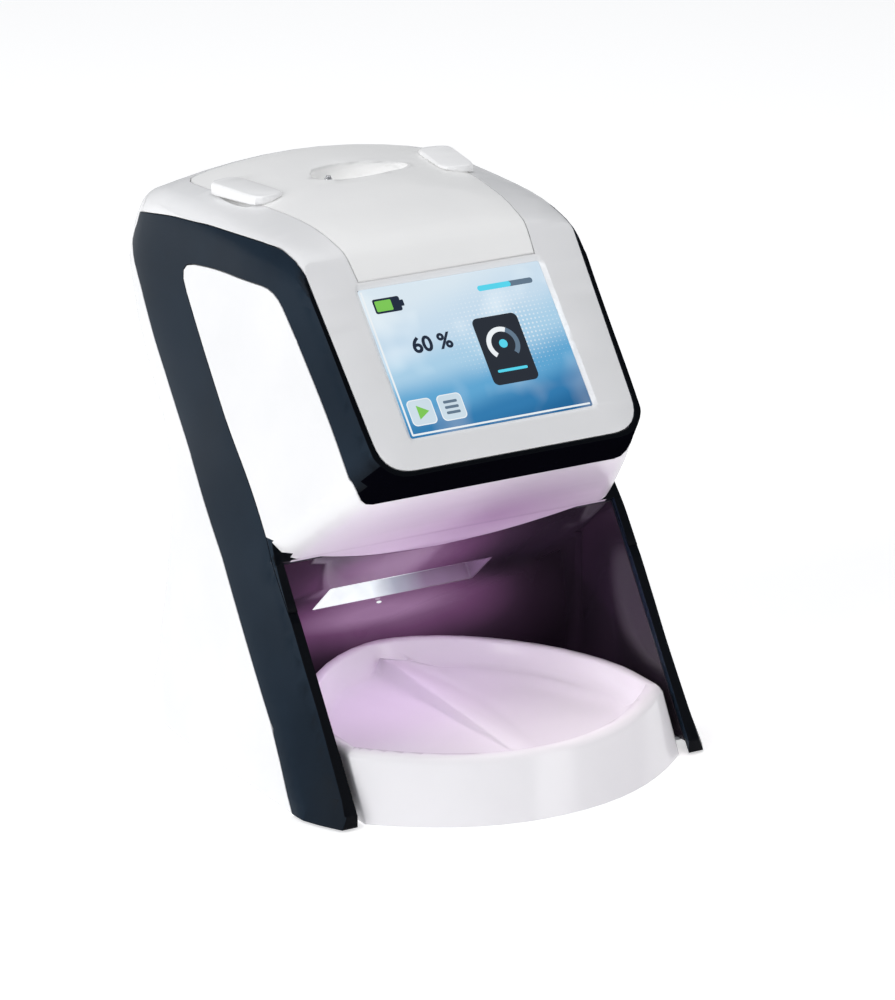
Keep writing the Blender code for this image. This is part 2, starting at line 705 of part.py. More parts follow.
def bay_solid(grow):
    """The open bay: plan outline below the slanted ceiling."""
    bay = prism("bay", bay_outline(grow), -OVERRUN * 2, PROW_Z, "Z")
    rise = (grow + BAY_STEP) / math.cos(UNDERSIDE_FALL)
    ahead, behind = -HALF_DEPTH * 1.5, BAY_MIDDLE_Y + BAY_REACH + OVERRUN
    step_y = chin_meet_y() - BAY_STEP
    outline = (
        (ahead, underside_z(ahead) - WALL),
        (step_y - WALL, underside_z(step_y - WALL) - WALL),
        (step_y, underside_z(step_y) + rise),
        (behind, underside_z(behind) + rise),
        (behind, BODY_HEIGHT * 1.5),
        (ahead, BODY_HEIGHT * 1.5),
    )
    return cut(bay, prism("ceiling", outline, -HALF_DEPTH, HALF_DEPTH, "X"))


def body_solid(inset):
    body = side_loft(inset)
    crop(body, crown_solid(inset))
    cut(body, face_cutter(inset))
    cut(body, underside_cutter(inset, ARM_FRONT_WALL if inset > 0 else 0.0))
    cut(body, bay_solid(inset))
    return body


def grow_outline(outline, amount):
    """The outline moved outward by amount, corner by corner."""
    area = sum(a[0] * b[1] - b[0] * a[1] for a, b in zip(outline, outline[1:] + outline[:1]))
    side = 1 if area > 0 else -1
    grown = []
    for index, spot in enumerate(outline):
        here = Vector(spot)
        before = (here - Vector(outline[index - 1])).normalized()
        after = (Vector(outline[(index + 1) % len(outline)]) - here).normalized()
        first = Vector((before.y, -before.x)) * side
        second = Vector((after.y, -after.x)) * side
        out = (first + second).normalized()
        moved = here + out * amount / max(out.dot(first), 0.3)
        grown.append((moved.x, moved.y))
    return grown


# Casing regions, as outlines seen from the side


def frame_top_curve():
    """The frame's top edge, rear to front, as one smooth curve."""
    corners = [(y * HALF_DEPTH, z * BODY_HEIGHT, OUTLINE_CURVE) for y, z in FRAME_TOP_SHARES]
    corners[0] = (*corners[0][:2], 0.0)
    corners[-1] = (*corners[-1][:2], 0.0)
    return round_corners(corners, 3)


def frame_outline():
    corners = []
    for share, _ in FRAME_REAR_SHARES:
        z = share * BODY_HEIGHT
        corners.append((frame_rear_y(z), z - (OVERRUN if share == 0.0 else 0.0), 0.0))
    last = corners.pop()
    slope = (last[0] - corners[-1][0]) / (last[1] - corners[-1][1])
    tip_z = BODY_HEIGHT * 0.884
    corners.append((last[0] + slope * (tip_z - last[1]), tip_z, FRAME_CORNER))
    corners += [(y, z, 0.0) for y, z in frame_top_curve()]
    corners.append((-HALF_DEPTH * 1.2, BODY_HEIGHT * 0.90, 0.0))
    corners.append((-HALF_DEPTH * 1.2, -OVERRUN, 0.0))
    return round_corners(corners, 6)


def panel_outline():
    """White side panel and chin, between the frame's legs."""
    corners = []
    for (y, z), radius in zip(PANEL_CORNER_SHARES, PANEL_RADII):
        corners.append((y * HALF_DEPTH, z * BODY_HEIGHT, radius))
    corners.append((CHIN_FRONT_SHARE * HALF_DEPTH, BODY_HEIGHT * 0.50, 0.0))
    corners.append((CHIN_FRONT_SHARE * HALF_DEPTH, BODY_HEIGHT * 0.30, 0.0))
    corners.append((arm_front_y(BODY_HEIGHT * 0.30) - SEAM * 3, BODY_HEIGHT * 0.30, 0.0))
    for index, (y, z) in enumerate(LEG_FRONT_SHARES):
        corners.append((y * HALF_DEPTH, z * BODY_HEIGHT, OUTLINE_CURVE if index > 0 else 0.0))
    return round_corners(corners, 4)


def chin_slab(grow):
    """The chin's share of the underside, ended behind by an arc."""
    arc = []
    centre = CHIN_ARC_Y - CHIN_ARC_RADIUS
    radius = CHIN_ARC_RADIUS + grow
    for step in range(-8, 9):
        angle = math.asin(min(FOOT_HALF_WIDTH / CHIN_ARC_RADIUS, 1.0)) * step / 8
        arc.append((math.sin(angle) * radius, centre + math.cos(angle) * radius))
    front = CHIN_FRONT_SHARE * HALF_DEPTH - grow
    outline = arc + [(FOOT_HALF_WIDTH, front), (-FOOT_HALF_WIDTH, front)]
    plan = prism("chin_plan", outline, 0.0, BODY_HEIGHT, "Z")
    rise = (WALL * 1.6 + grow) / math.cos(UNDERSIDE_FALL)
    ahead, behind = -HALF_DEPTH, 0.0
    slab = ((ahead, underside_z(ahead) - OVERRUN), (behind, underside_z(behind) - OVERRUN),
            (behind, underside_z(behind) + rise), (ahead, underside_z(ahead) + rise))
    inner = half_width(chin_meet_y(), underside_z(chin_meet_y())) - HEAD_EDGE_RADIUS + grow
    return crop(plan, prism("chin_slab", slab, -inner, inner, "X"))


def top_outline():
    """Top surround: above the frame and ahead of the rear seam."""
    low = frame_top_curve()[::-1]
    seam = TOP_SEAM_SHARE * HALF_DEPTH
    return low + [(seam, low[-1][1] - BODY_HEIGHT * 0.0035), (seam + OVERRUN * 0.4, BODY_HEIGHT * 1.05),
                  (-HALF_DEPTH, BODY_HEIGHT * 1.05), (-HALF_DEPTH, low[0][1])]


def bezel_prism(grow):
    """The white face round the screen, inside the frame's front lip, and deeper behind the brow."""
    low, high = -BEZEL_FOOT - grow, BODY_HEIGHT * 0.30
    bottom, top = BEZEL_LOW_HALF + grow, BEZEL_TOP_HALF + grow
    corners = (
        (-bottom, low, BEZEL_CORNER), (bottom, low, BEZEL_CORNER), (top, high, 0.0), (-top, high, 0.0),
    )
    face = prism("bezel", round_corners(corners, 8), -WALL - SEAM - grow, OVERRUN * 2)
    middle = bottom + (top - bottom) * (SCREEN_HALF_TALL - low) / (high - low)
    middle, top, high = middle - BAY_STEP, top - BAY_STEP, high - BAY_STEP
    brow = ((-middle, SCREEN_HALF_TALL), (middle, SCREEN_HALF_TALL), (top, high), (-top, high))
    return on_screen(join(face, prism("brow", brow, -OVERRUN * 2, OVERRUN)))


def lid_outline(grow):
    side = [(LID_FRONT_HALF, LID_FRONT_Y, 0.0)]
    side += [(LID_HALF * wide, HALF_DEPTH * y, LID_CURVE) for y, wide in LID_SIDE_SHARES]
    side.append((side[-1][0], LID_REAR_Y, LID_CORNER))
    mirrored = [(-x, y, radius) for x, y, radius in reversed(side)]
    return grow_outline(round_corners(side + mirrored, 4), grow)


def behind_arm_wall(grow):
    low, high = -OVERRUN * 3, PROW_Z * 1.4
    shift = ARM_FRONT_WALL + grow
    outline = ((arm_front_y(low) + shift, low), (HALF_DEPTH, low),
               (HALF_DEPTH, high), (arm_front_y(high) + shift, high))
    return prism("behind", outline, -HALF_DEPTH, HALF_DEPTH, "X")


def frame_region(grow):
    """Both side frames; the box keeps them off the rear wall between the corners."""
    region = prism("frame", grow_outline(frame_outline(), grow), -HALF_DEPTH, HALF_DEPTH, "X")
    half = FRAME_WRAP_SHARE * FOOT_HALF_WIDTH - grow
    back = box("back", (-half, LID_REAR_Y, -OVERRUN), (half, HALF_DEPTH * 1.2, BODY_HEIGHT * 1.2))
    return cut(region, back)


def head_region(grow):
    region = prism("panel", grow_outline(panel_outline(), grow), -HALF_DEPTH, HALF_DEPTH, "X")
    return join(region, chin_slab(grow))


# Lid with its well, catch and grips

def oval(half_x, half_y, taper=0.0, steps=28):
    """Oval that narrows towards +X by taper."""
    outline = []
    for step in range(steps):
        angle = 2 * math.pi * step / steps
        across = math.sin(angle) * (1 - taper * math.cos(angle))
        outline.append((half_x * math.cos(angle), half_y * across))
    return outline


def moved(outline, x, y):
    return [(a + x, b + y) for a, b in outline]


def ellipsoid(name, centre, radii):
    shape = bmesh.new()
    bmesh.ops.create_uvsphere(shape, u_segments=20, v_segments=12, radius=1.0)
    bmesh.ops.scale(shape, vec=radii, verts=shape.verts)
    bmesh.ops.translate(shape, vec=centre, verts=shape.verts)
    mesh = bpy.data.meshes.new(name)
    shape.to_mesh(mesh)
    shape.free()
    return new_object(name, mesh)


def well_floor_z():
    return top_z(WELL_X, WELL_Y) - WELL_DROP


def make_grip(lid, side):
    """Low tab on the lid's edge, turned along it, that overhangs the surround beside it."""
    x, y = side * GRIP_MIDDLE_X, GRIP_MIDDLE_Y
    sine, cosine = math.sin(-side * GRIP_TURN), math.cos(GRIP_TURN)

    def tab(name, levels):
        loops = []
        for rise, inset in levels:
            corner = GRIP_CORNER - inset
            outline = rounded_rectangle(GRIP_HALF_WIDTH - inset, GRIP_HALF_LENGTH - inset, corner, 3)
            turned = [(x + a * cosine - b * sine, y + a * sine + b * cosine) for a, b in outline]
            base = top_z if not loops else lambda _, b: edge_z(b)
            loops.append([(a, b, base(a, b) + rise) for a, b in turned])
        return loft(name, loops)

    seat = tab("seat", ((-WALL / 2, GRIP_EDGE), (GRIP_RISE / 2, GRIP_EDGE)))
    join(lid, crop(seat, prism("inside", lid_outline(-GRIP_EDGE), 0.0, BODY_HEIGHT * 1.1)))
    levels = ((CLEARANCE * 2, 0.0), (GRIP_RISE - GRIP_EDGE, 0.0), (GRIP_RISE, GRIP_EDGE))
    return join(lid, tab("grip", levels))


def make_lid(skin):
    top = BODY_HEIGHT * 1.1
    low = edge_z(LID_FRONT_Y) - WALL * 2.2
    lid = crop(copy_of(skin, "top_cover"), prism("lid", lid_outline(0.0), low, top))
    floor = well_floor_z()
    outline = oval(WELL_HALF_LENGTH, WELL_HALF_DEPTH, WELL_TAPER_SHARE)
    tube = moved(grow_outline(outline, WELL_WALL), WELL_X, WELL_Y)
    join(lid, prism("well", tube, floor - WELL_WALL, floor + WELL_DROP - WALL / 2))
    cut(lid, prism("bowl", moved(outline, WELL_X, WELL_Y), floor, top))
    gap = PLATE_SLOT_GAP / 2
    cut(lid, box("slot", (WELL_X - PLATE_SLOT_HALF, WELL_Y - gap, floor - OVERRUN),
                 (WELL_X + PLATE_SLOT_HALF, WELL_Y + gap, floor + OVERRUN)))
    cut(lid, cylinder("catch_bore", (CATCH_X, CATCH_Y, floor - OVERRUN), CATCH_RADIUS + CLEARANCE,
                      OVERRUN * 2, sides=16))
    for side in (-1, 1):
        make_grip(lid, side)
    place(lid, (0.0, WELL_Y, floor))
    return clean(lid, material("lid_grey_white", (0.78, 0.79, 0.80), 0.38))


def make_catch():
    """Catch pin that stands in the well, held from below by its collar."""
    collar_top = well_floor_z() - WELL_WALL - CLEARANCE
    base = (CATCH_X, CATCH_Y, collar_top - CATCH_COLLAR_HEIGHT)
    pin = cylinder("catch_pin", base, CATCH_COLLAR, CATCH_COLLAR_HEIGHT, sides=16)
    tip_z = well_floor_z() + WELL_DROP - CATCH_SINK
    foot = base[2] + CATCH_COLLAR_HEIGHT / 2
    join(pin, cylinder("stem", (CATCH_X, CATCH_Y, foot), CATCH_RADIUS, tip_z - foot, sides=16))
    join(pin, cylinder("tip", (CATCH_X, CATCH_Y, tip_z - CATCH_RADIUS / 4), CATCH_RADIUS, CATCH_RADIUS,
                       sides=16, end_radius=CATCH_RADIUS / 2))
    place(pin, base)
    return clean(pin, material("catch_chrome", (0.80, 0.80, 0.82), 0.12, 1.0))


# Screen

def screen_frame():
    """The screen's own axes: X across, Y up the slope, Z outward."""
    turn = Matrix.Rotation(math.pi / 2 - SCREEN_TILT, 4, "X")
    return Matrix.Translation((0.0, face_y(SCREEN_Z), SCREEN_Z)) @ turn


def on_screen(thing):
    thing.data.transform(screen_frame())
    return thing


def rounded_rectangle(half_x, half_y, radius, steps=5):
    return round_corners(((half_x, -half_y, radius), (half_x, half_y, radius),
                          (-half_x, half_y, radius), (-half_x, -half_y, radius)), steps)


def cut_screen(shell):
    """Opening for the glass, with the recess that slopes out to the bezel's face."""
    gap = CLEARANCE
    outside = SCREEN_MARGIN + OVERRUN * SCREEN_MARGIN / RECESS_DEPTH
    seat = -RECESS_DEPTH - GLASS_THICKNESS / 2
    loops = []
    for depth, grow in ((-WALL - OVERRUN, gap), (seat, gap), (-RECESS_DEPTH, gap),
                        (0.0, SCREEN_MARGIN), (OVERRUN, outside)):
        outline = rounded_rectangle(SCREEN_HALF + grow, SCREEN_HALF_TALL + grow, GLASS_THICKNESS + grow)
        loops.append([(x, y, depth) for x, y in outline])
    return cut(shell, on_screen(loft("screen_hole", loops)))


def make_screen():
    outline = rounded_rectangle(SCREEN_HALF, SCREEN_HALF_TALL, GLASS_THICKNESS)
    front = -RECESS_DEPTH
    glass = on_screen(prism("touch_glass", outline, front - GLASS_THICKNESS, front))
    clean(glass, material("screen_glass", (0.30, 0.55, 0.80), 0.06))
    back = -WALL - CLEARANCE
    border = MODULE_BORDER
    outline = rounded_rectangle(SCREEN_HALF + border, SCREEN_HALF_TALL + border, GLASS_THICKNESS)
    module = on_screen(prism("display_module", outline, back - MODULE_THICKNESS, back))
    clean(module, material("module_black", (0.03, 0.03, 0.035), 0.5))


# Exit slot over the tray, and the chute behind it

def slot_half_tall():
    return (SLOT_LOW_Y - SLOT_HIGH_Y) / 2 / math.cos(UNDERSIDE_FALL)


def in_chute(thing):
    """Turns a shape from the slot's own axes, X across, Y up the slope and Z into the head."""
    middle = (SLOT_LOW_Y + SLOT_HIGH_Y) / 2
    sine, cosine = math.sin(UNDERSIDE_FALL), math.cos(UNDERSIDE_FALL)
    turn = Matrix(((-1, 0, 0), (0, -cosine, sine), (0, sine, cosine))).to_4x4()
    thing.data.transform(Matrix.Translation((0.0, middle, underside_z(middle))) @ turn)
    return thing


def make_chute():
    tall = slot_half_tall()
    wall = CHUTE_WALL
    outline = rounded_rectangle(SLOT_HALF - CLEARANCE, tall - CLEARANCE, wall, 2)
    chute = in_chute(prism("exit_chute", outline, BAY_STEP * 2, CHUTE_LENGTH))
    outline = rounded_rectangle(SLOT_HALF - CLEARANCE - wall, tall - CLEARANCE - wall, wall, 2)
    cut(chute, in_chute(prism("hollow", outline, -OVERRUN, CHUTE_LENGTH - wall)))
    half, gap = PLATE_SLOT_HALF, PLATE_SLOT_GAP
    low, high = CHUTE_LENGTH - OVERRUN, CHUTE_LENGTH + OVERRUN
    cut(chute, in_chute(box("mouth", (-half, -gap, low), (half, gap, high))))
    return clean(chute, material("chute_white", (0.82, 0.84, 0.90), 0.35))


# Receiving tray

def tray_outline(share, inset):
    """Plan of the tray at a share of its height: bulged front, straight sides, rounded rear."""
    corner = TRAY_CORNER_LOW_Y + (TRAY_CORNER_HIGH_Y - TRAY_CORNER_LOW_Y) * share
    bulge = TRAY_BULGE_LOW + (TRAY_BULGE_HIGH - TRAY_BULGE_LOW) * share - inset * 0.1
    half = TRAY_HALF - inset
    outline = []
    for step in range(-12, 13):
        spread = math.sin(step / 12 * math.pi / 2 * 0.999)
        ahead = bulge * (1 - abs(spread) ** TRAY_BULGE_SQUARENESS)
        outline.append((spread * half, corner + inset * 0.6 - ahead))
    reach = TRAY_REAR_Y - inset - TRAY_REAR_START_Y
    power = 2 / TRAY_REAR_SQUARENESS
    for step in range(25):
        angle = math.pi * step / 24
        x, y = math.cos(angle), math.sin(angle)
        outline.append((math.copysign(abs(x) ** power, x) * half, TRAY_REAR_START_Y + reach * y ** power))
    return outline


def tray_loft(name, levels):
    """Solid through the tray's plan at each (height, height share, inset)."""
    loops = []
    for z, share, inset in levels:
        loops.append([(x, y, z) for x, y in tray_outline(share, inset)])
    return loft(name, loops)


def make_tray():
    rim, floor = TRAY_RIM_Z, TRAY_RIM_Z - DISH_DEPTH
    roll = TRAY_EDGE / 4
    levels = [(FRAME_LIFT, FRAME_LIFT / rim, 0.0), (rim - roll * 2, 1 - roll * 2 / rim, 0.0)]
    levels += [(rim - roll, 1.0, roll * 0.3), (rim, 1.0, roll * 1.3)]
    tray = tray_loft("receiving_tray", levels)
    levels = []
    for run, rise in DISH_WALL_SHARES:
        levels.append((floor + DISH_DEPTH * rise, 1.0, TRAY_EDGE + DISH_WALL_RUN * run))
    levels.append((rim + OVERRUN, 1.0, TRAY_EDGE - roll * 2))
    cut(tray, tray_loft("dish", levels))

    front = TRAY_CORNER_HIGH_Y - TRAY_BULGE_HIGH + TRAY_EDGE + DISH_WALL_RUN
    back = TRAY_REAR_Y - TRAY_EDGE - DISH_WALL_RUN * 0.8
    low = floor - WALL / 2
    loops = []
    for y, rise in ((front, RIDGE_RISE / 8), (back - DISH_WALL_RUN, RIDGE_RISE), (back, RIDGE_RISE * 0.85)):
        left, right = RIDGE_X - RIDGE_LEDGE, RIDGE_X + RIDGE_RUN
        loops.append([(left, y, low), (right, y, low), (RIDGE_X, y, floor + rise)])
    join(tray, loft("wedge", loops))
    cut(tray, box("pocket", (-HALF_DEPTH, BASE_FRONT_Y - CLEARANCE * 2, -OVERRUN),
                  (HALF_DEPTH, HALF_DEPTH, BASE_TOP + CLEARANCE)))
    place(tray, (0.0, BASE_FRONT_Y, BASE_TOP))
    return clean(tray, material("tray_white", (0.88, 0.87, 0.90), 0.22))


# Base plate, feet and screws

def make_base():
    under = BASE_TOP - BASE_THICKNESS
    plate = side_loft(WALL + CLEARANCE)
    plate.name = "base_plate"
    crop(plate, box("slab", (-HALF_DEPTH, BASE_FRONT_Y, under), (HALF_DEPTH, HALF_DEPTH, BASE_TOP)))
    clean(plate, material("base_steel", (0.42, 0.43, 0.45), 0.42, 1.0))
    rubber = material("foot_rubber", (0.03, 0.03, 0.03), 0.80)
    bright = material("screw_steel", (0.55, 0.55, 0.57), 0.30, 1.0)
    seat = under - CLEARANCE
    ends = (("front", FOOT_PAD_FRONT_Y, SCREW_FRONT_Y), ("rear", FOOT_PAD_REAR_Y, SCREW_REAR_Y))
    for hand, side in (("left", -1), ("right", 1)):
        for end, foot_y, screw_y in ends:
            spot = (side * FOOT_PAD_X, foot_y, 0.0)
            clean(cylinder(f"foot_{end}_{hand}", spot, FOOT_PAD_RADIUS * 0.88, seat,
                           end_radius=FOOT_PAD_RADIUS, sides=20), rubber)
            spot = (side * SCREW_X, screw_y, seat - SCREW_HEAD_HEIGHT)
            clean(cylinder(f"base_screw_{end}_{hand}", spot, SCREW_HEAD_RADIUS, SCREW_HEAD_HEIGHT,
                           sides=16), bright)


# Chassis and plate drive behind the casing

def make_chassis():
    base = BASE_TOP + CLEARANCE
    sheet, half = CHASSIS_SHEET, CHASSIS_HALF
    back = CHASSIS_BACK_Y + sheet
    inside = CHASSIS_BACK_Y + sheet / 2
    chassis = box("chassis", (-half, CHASSIS_BACK_Y, base), (half, back, HIGH_SHELF_Z + sheet))
    join(chassis, box("foot", (-half, CHASSIS_FRONT_Y, base), (half, inside, base + sheet)))
    for z in (LOW_SHELF_Z, HIGH_SHELF_Z):
        join(chassis, box("shelf", (-half, SHELF_FRONT_Y, z), (half, inside, z + sheet)))
    for side in (-1, 1):
        near, far = sorted((side * RAIL_X, side * (RAIL_X + RAIL_THICKNESS)))
        join(chassis, box("rail", (near, RAIL_FRONT_Y, RAIL_LOW_Z), (far, inside, RAIL_HIGH_Z)))
    cut(chassis, cylinder("shaft_hole", (0.0, ROD_Y, LOW_SHELF_Z - OVERRUN), LEAD_SCREW_HOLE, OVERRUN * 2))
    return clean(chassis, material("chassis_steel", (0.50, 0.51, 0.53), 0.40, 1.0))


def make_drive():
    steel = material("rod_steel", (0.62, 0.62, 0.64), 0.20, 1.0)
    low = LOW_SHELF_Z + CHASSIS_SHEET + CLEARANCE
    high = HIGH_SHELF_Z - CLEARANCE
    for hand, side in (("left", -1), ("right", 1)):
        spot = (side * ROD_X, ROD_Y, low)
        clean(cylinder(f"guide_rod_{hand}", spot, ROD_RADIUS, high - low, sides=16), steel)
    screw = cylinder("lead_screw", (0.0, ROD_Y, LOW_SHELF_Z), LEAD_SCREW_RADIUS, high - LOW_SHELF_Z, sides=20)
    place(screw, (0.0, ROD_Y, LOW_SHELF_Z))
    clean(screw, material("screw_bronze", (0.55, 0.42, 0.25), 0.35, 1.0))
    top = LOW_SHELF_Z - CLEARANCE
    outline = moved(rounded_rectangle(MOTOR_HALF, MOTOR_HALF, MOTOR_CORNER), 0.0, ROD_Y)
    motor = prism("screw_motor", outline, top - MOTOR_HEIGHT, top)
    clean(motor, material("motor_black", (0.04, 0.04, 0.045), 0.45, 0.4))


def make_carriage():
    low, high = CARRIAGE_REST_Z, CARRIAGE_REST_Z + CARRIAGE_HEIGHT
    half, deep, sheet = CARRIAGE_HALF, CARRIAGE_HALF_DEPTH, CRADLE_SHEET
    block = box("plate_carriage", (-half, ROD_Y - deep, low), (half, ROD_Y + deep, high))
    wide = CRADLE_HALF
    join(block, box("arm", (-wide, CRADLE_Y - sheet, low), (wide, ROD_Y, low + sheet * 2)))
    join(block, box("cradle", (-wide, CRADLE_Y, low), (wide, CRADLE_Y + sheet, low + CRADLE_HEIGHT)))
    for x, radius in ((-ROD_X, ROD_RADIUS), (ROD_X, ROD_RADIUS), (0.0, LEAD_SCREW_RADIUS)):
        spot = (x, ROD_Y, low - OVERRUN)
        cut(block, cylinder("bore", spot, radius + CLEARANCE, CARRIAGE_HEIGHT + OVERRUN * 2, sides=16))
    place(block, (0.0, ROD_Y, low))
    return clean(block, material("carriage_polymer", (0.10, 0.11, 0.12), 0.50))


# Optics and boards

def make_optics():
    low = RAIL_HIGH_Z + CLEARANCE
    high = low + LASER_HEIGHT
    laser = box("laser_module", (-LASER_HALF, LASER_LOW_Y, low), (LASER_HALF, LASER_HIGH_Y, high))
    middle, slit = (low + high) / 2, LASER_SLIT_HEIGHT / 2
    cut(laser, box("slit", (-PLATE_SLOT_HALF, LASER_HIGH_Y - LASER_SLIT_DEPTH, middle - slit),
                   (PLATE_SLOT_HALF, LASER_HIGH_Y + OVERRUN, middle + slit)))
    clean(laser, material("optics_black", (0.02, 0.02, 0.025), 0.40))
    spot = (-TUBE_HALF_LENGTH, (LASER_LOW_Y + LASER_HIGH_Y) / 2, high + CLEARANCE + TUBE_RADIUS)
    tube = cylinder("photomultiplier", spot, TUBE_RADIUS, TUBE_HALF_LENGTH * 2, axis="X", sides=28)
    clean(tube, material("tube_metal", (0.35, 0.36, 0.38), 0.35, 0.8))
    top = RAIL_LOW_Z - CLEARANCE
    half = RAIL_X + RAIL_THICKNESS
    bar = box("eraser_bar", (-half, LASER_HIGH_Y - ERASER_DEPTH, top - ERASER_HEIGHT),
              (half, LASER_HIGH_Y, top))
    clean(bar, material("eraser_grey", (0.60, 0.62, 0.65), 0.40))


def make_boards():
    y = CHASSIS_BACK_Y + CHASSIS_SHEET + CLEARANCE
    board = box("main_board", (-BOARD_HALF, y, BOARD_LOW_Z), (BOARD_HALF, y + BOARD_THICKNESS, BOARD_HIGH_Z))
    clean(board, material("board_green", (0.02, 0.14, 0.06), 0.50))
    low = BASE_TOP + CHASSIS_SHEET + CLEARANCE * 2
    supply = box("power_supply", (SUPPLY_LEFT_X, CHASSIS_FRONT_Y, low),
                 (SUPPLY_LEFT_X + SUPPLY_WIDTH, CHASSIS_FRONT_Y + SUPPLY_DEPTH, low + SUPPLY_HEIGHT))
    clean(supply, material("supply_metal", (0.55, 0.56, 0.58), 0.40, 0.9))


# Connectors at the rear

def socket_body(name, x, z, half_width, half_height, hole, hole_depth):
    """Block that passes through the connector panel, with its hole open to the rear."""
    outer = PANEL_Y + PANEL_THICKNESS + SOCKET_STANDOUT
    body = box(name, (x - half_width, outer - SOCKET_BODY_DEPTH, z - half_height),
               (x + half_width, outer, z + half_height))
    return cut(body, prism("hole", moved(hole, x, z), outer - hole_depth, outer + OVERRUN, "Y"))


def make_sockets(panel):
    black = material("socket_black", (0.03, 0.03, 0.03), 0.50)
    metal = material("socket_metal", (0.60, 0.60, 0.62), 0.30, 1.0)
    rows = (
        ("power_inlet", INLET_X, INLET_HALF_WIDTH, INLET_HALF_HEIGHT, SOCKET_RIM * 2, black),
        ("network_socket", NETWORK_X, NETWORK_HALF_WIDTH, NETWORK_HALF_HEIGHT, 0.0, metal),
        ("usb_socket", USB_X, USB_HALF_WIDTH, USB_HALF_HEIGHT, 0.0, metal),
    )
    for name, x, wide, tall, corner, finish in rows:
        hole = rounded_rectangle(wide - SOCKET_RIM, tall - SOCKET_RIM, corner)
        clean(socket_body(name, x, SOCKET_Z, wide, tall, hole, SOCKET_HOLE_DEPTH), finish)
        cut_through(panel, x, SOCKET_Z, wide, tall)
    wide, tall = SWITCH_HALF_WIDTH, SWITCH_HALF_HEIGHT
    hole = rounded_rectangle(wide, tall, 0.0)
    frame = socket_body("switch_frame", SWITCH_X, SWITCH_Z, wide + SWITCH_BEZEL, tall + SWITCH_BEZEL,
                        hole, SOCKET_HOLE_DEPTH)
    clean(frame, black)
    cut_through(panel, SWITCH_X, SWITCH_Z, wide + SWITCH_BEZEL, tall + SWITCH_BEZEL)


def cut_through(panel, x, z, half_width, half_height):
    gap = CLEARANCE
    cut(panel, box("hole", (x - half_width - gap, PANEL_Y - OVERRUN, z - half_height - gap),
                   (x + half_width + gap, PANEL_Y + OVERRUN, z + half_height + gap)))


def make_rocker():
    """Rocker on an upright pin line, at rest with its left end pressed."""
    reach = SWITCH_HALF_WIDTH - CLEARANCE * 2
    tall = SWITCH_HALF_HEIGHT - CLEARANCE
    lift = reach * math.tan(ROCKER_TILT)
    outline = [(-reach, ROCKER_CROWN + lift), (0.0, ROCKER_CROWN), (reach, ROCKER_CROWN + lift)]
    for step in range(9):
        angle = math.pi * step / 8
        outline.append((reach * math.cos(angle), -ROCKER_BODY * math.sin(angle) / 1.3))
    rocker = prism("power_switch", outline, -tall, tall)
    rocker.location = (SWITCH_X, PANEL_Y + PANEL_THICKNESS + SOCKET_STANDOUT, SWITCH_Z)
    rocker.rotation_euler.z = ROCKER_TILT
    return clean(rocker, material("rocker_black", (0.02, 0.02, 0.02), 0.35))


def make_rear_panel():
    panel = box("connector_panel", (-PANEL_HALF, PANEL_Y, PANEL_LOW_Z),
                (PANEL_HALF, PANEL_Y + PANEL_THICKNESS, PANEL_HIGH_Z))
    make_sockets(panel)
    clean(panel, material("panel_grey", (0.20, 0.21, 0.22), 0.45))
    make_rocker()


# Casing

def make_skin():
    """Closed shell of the body, with the finger scoops and the thick wall round the connectors."""
    outer = body_solid(0.0)
    inner = body_solid(WALL)
    grow = WALL * 0.8
    for side in (-1, 1):
        centre = (side * SCOOP_X, SCOOP_Y, edge_z(SCOOP_Y))
        radii = (SCOOP_HALF_WIDTH, SCOOP_HALF_LENGTH, SCOOP_DEPTH)
        cut(inner, ellipsoid("cup", centre, [radius + grow for radius in radii]))
        cut(outer, ellipsoid("scoop", centre, radii))
    rim = PANEL_RIM
    cut(inner, box("collar", (-PANEL_HALF - rim, PANEL_Y - PANEL_THICKNESS, PANEL_LOW_Z - rim),
                   (PANEL_HALF + rim, HALF_DEPTH * 1.1, PANEL_HIGH_Z + rim)))
    return cut(outer, inner)


def make_frame(skin, finish):
    frame = crop(copy_of(skin, "side_frame"), frame_region(0.0))
    cut(frame, head_region(SEAM))
    cut(frame, bezel_prism(SEAM))
    cut(frame, crop(bay_solid(WALL + SEAM), behind_arm_wall(-CLEARANCE)))
    return clean(frame, finish)


def make_top_shell(skin, finish):
    top = prism("top", grow_outline(top_outline(), -SEAM), -HALF_DEPTH, HALF_DEPTH, "X")
    join(top, bezel_prism(0.0))
    shell = crop(copy_of(skin, "top_shell"), top)
    cut_screen(shell)
    low = edge_z(LID_FRONT_Y) - WALL * 2.6
    cut(shell, prism("lid_opening", lid_outline(LID_GAP), low, BODY_HEIGHT * 1.1))
    return clean(shell, finish)


def make_rear_housing(skin, finish):
    rear = cut(copy_of(skin, "rear_housing"), frame_region(SEAM))
    cut(rear, prism("top", top_outline(), -HALF_DEPTH, HALF_DEPTH, "X"))
    cut(rear, bay_solid(WALL + SEAM))
    half, gap = PANEL_HALF + CLEARANCE, CLEARANCE
    cut(rear, box("opening", (-half, PANEL_Y - OVERRUN, PANEL_LOW_Z - gap),
                  (half, HALF_DEPTH * 1.1, PANEL_HIGH_Z + gap)))
    return clean(rear, finish)


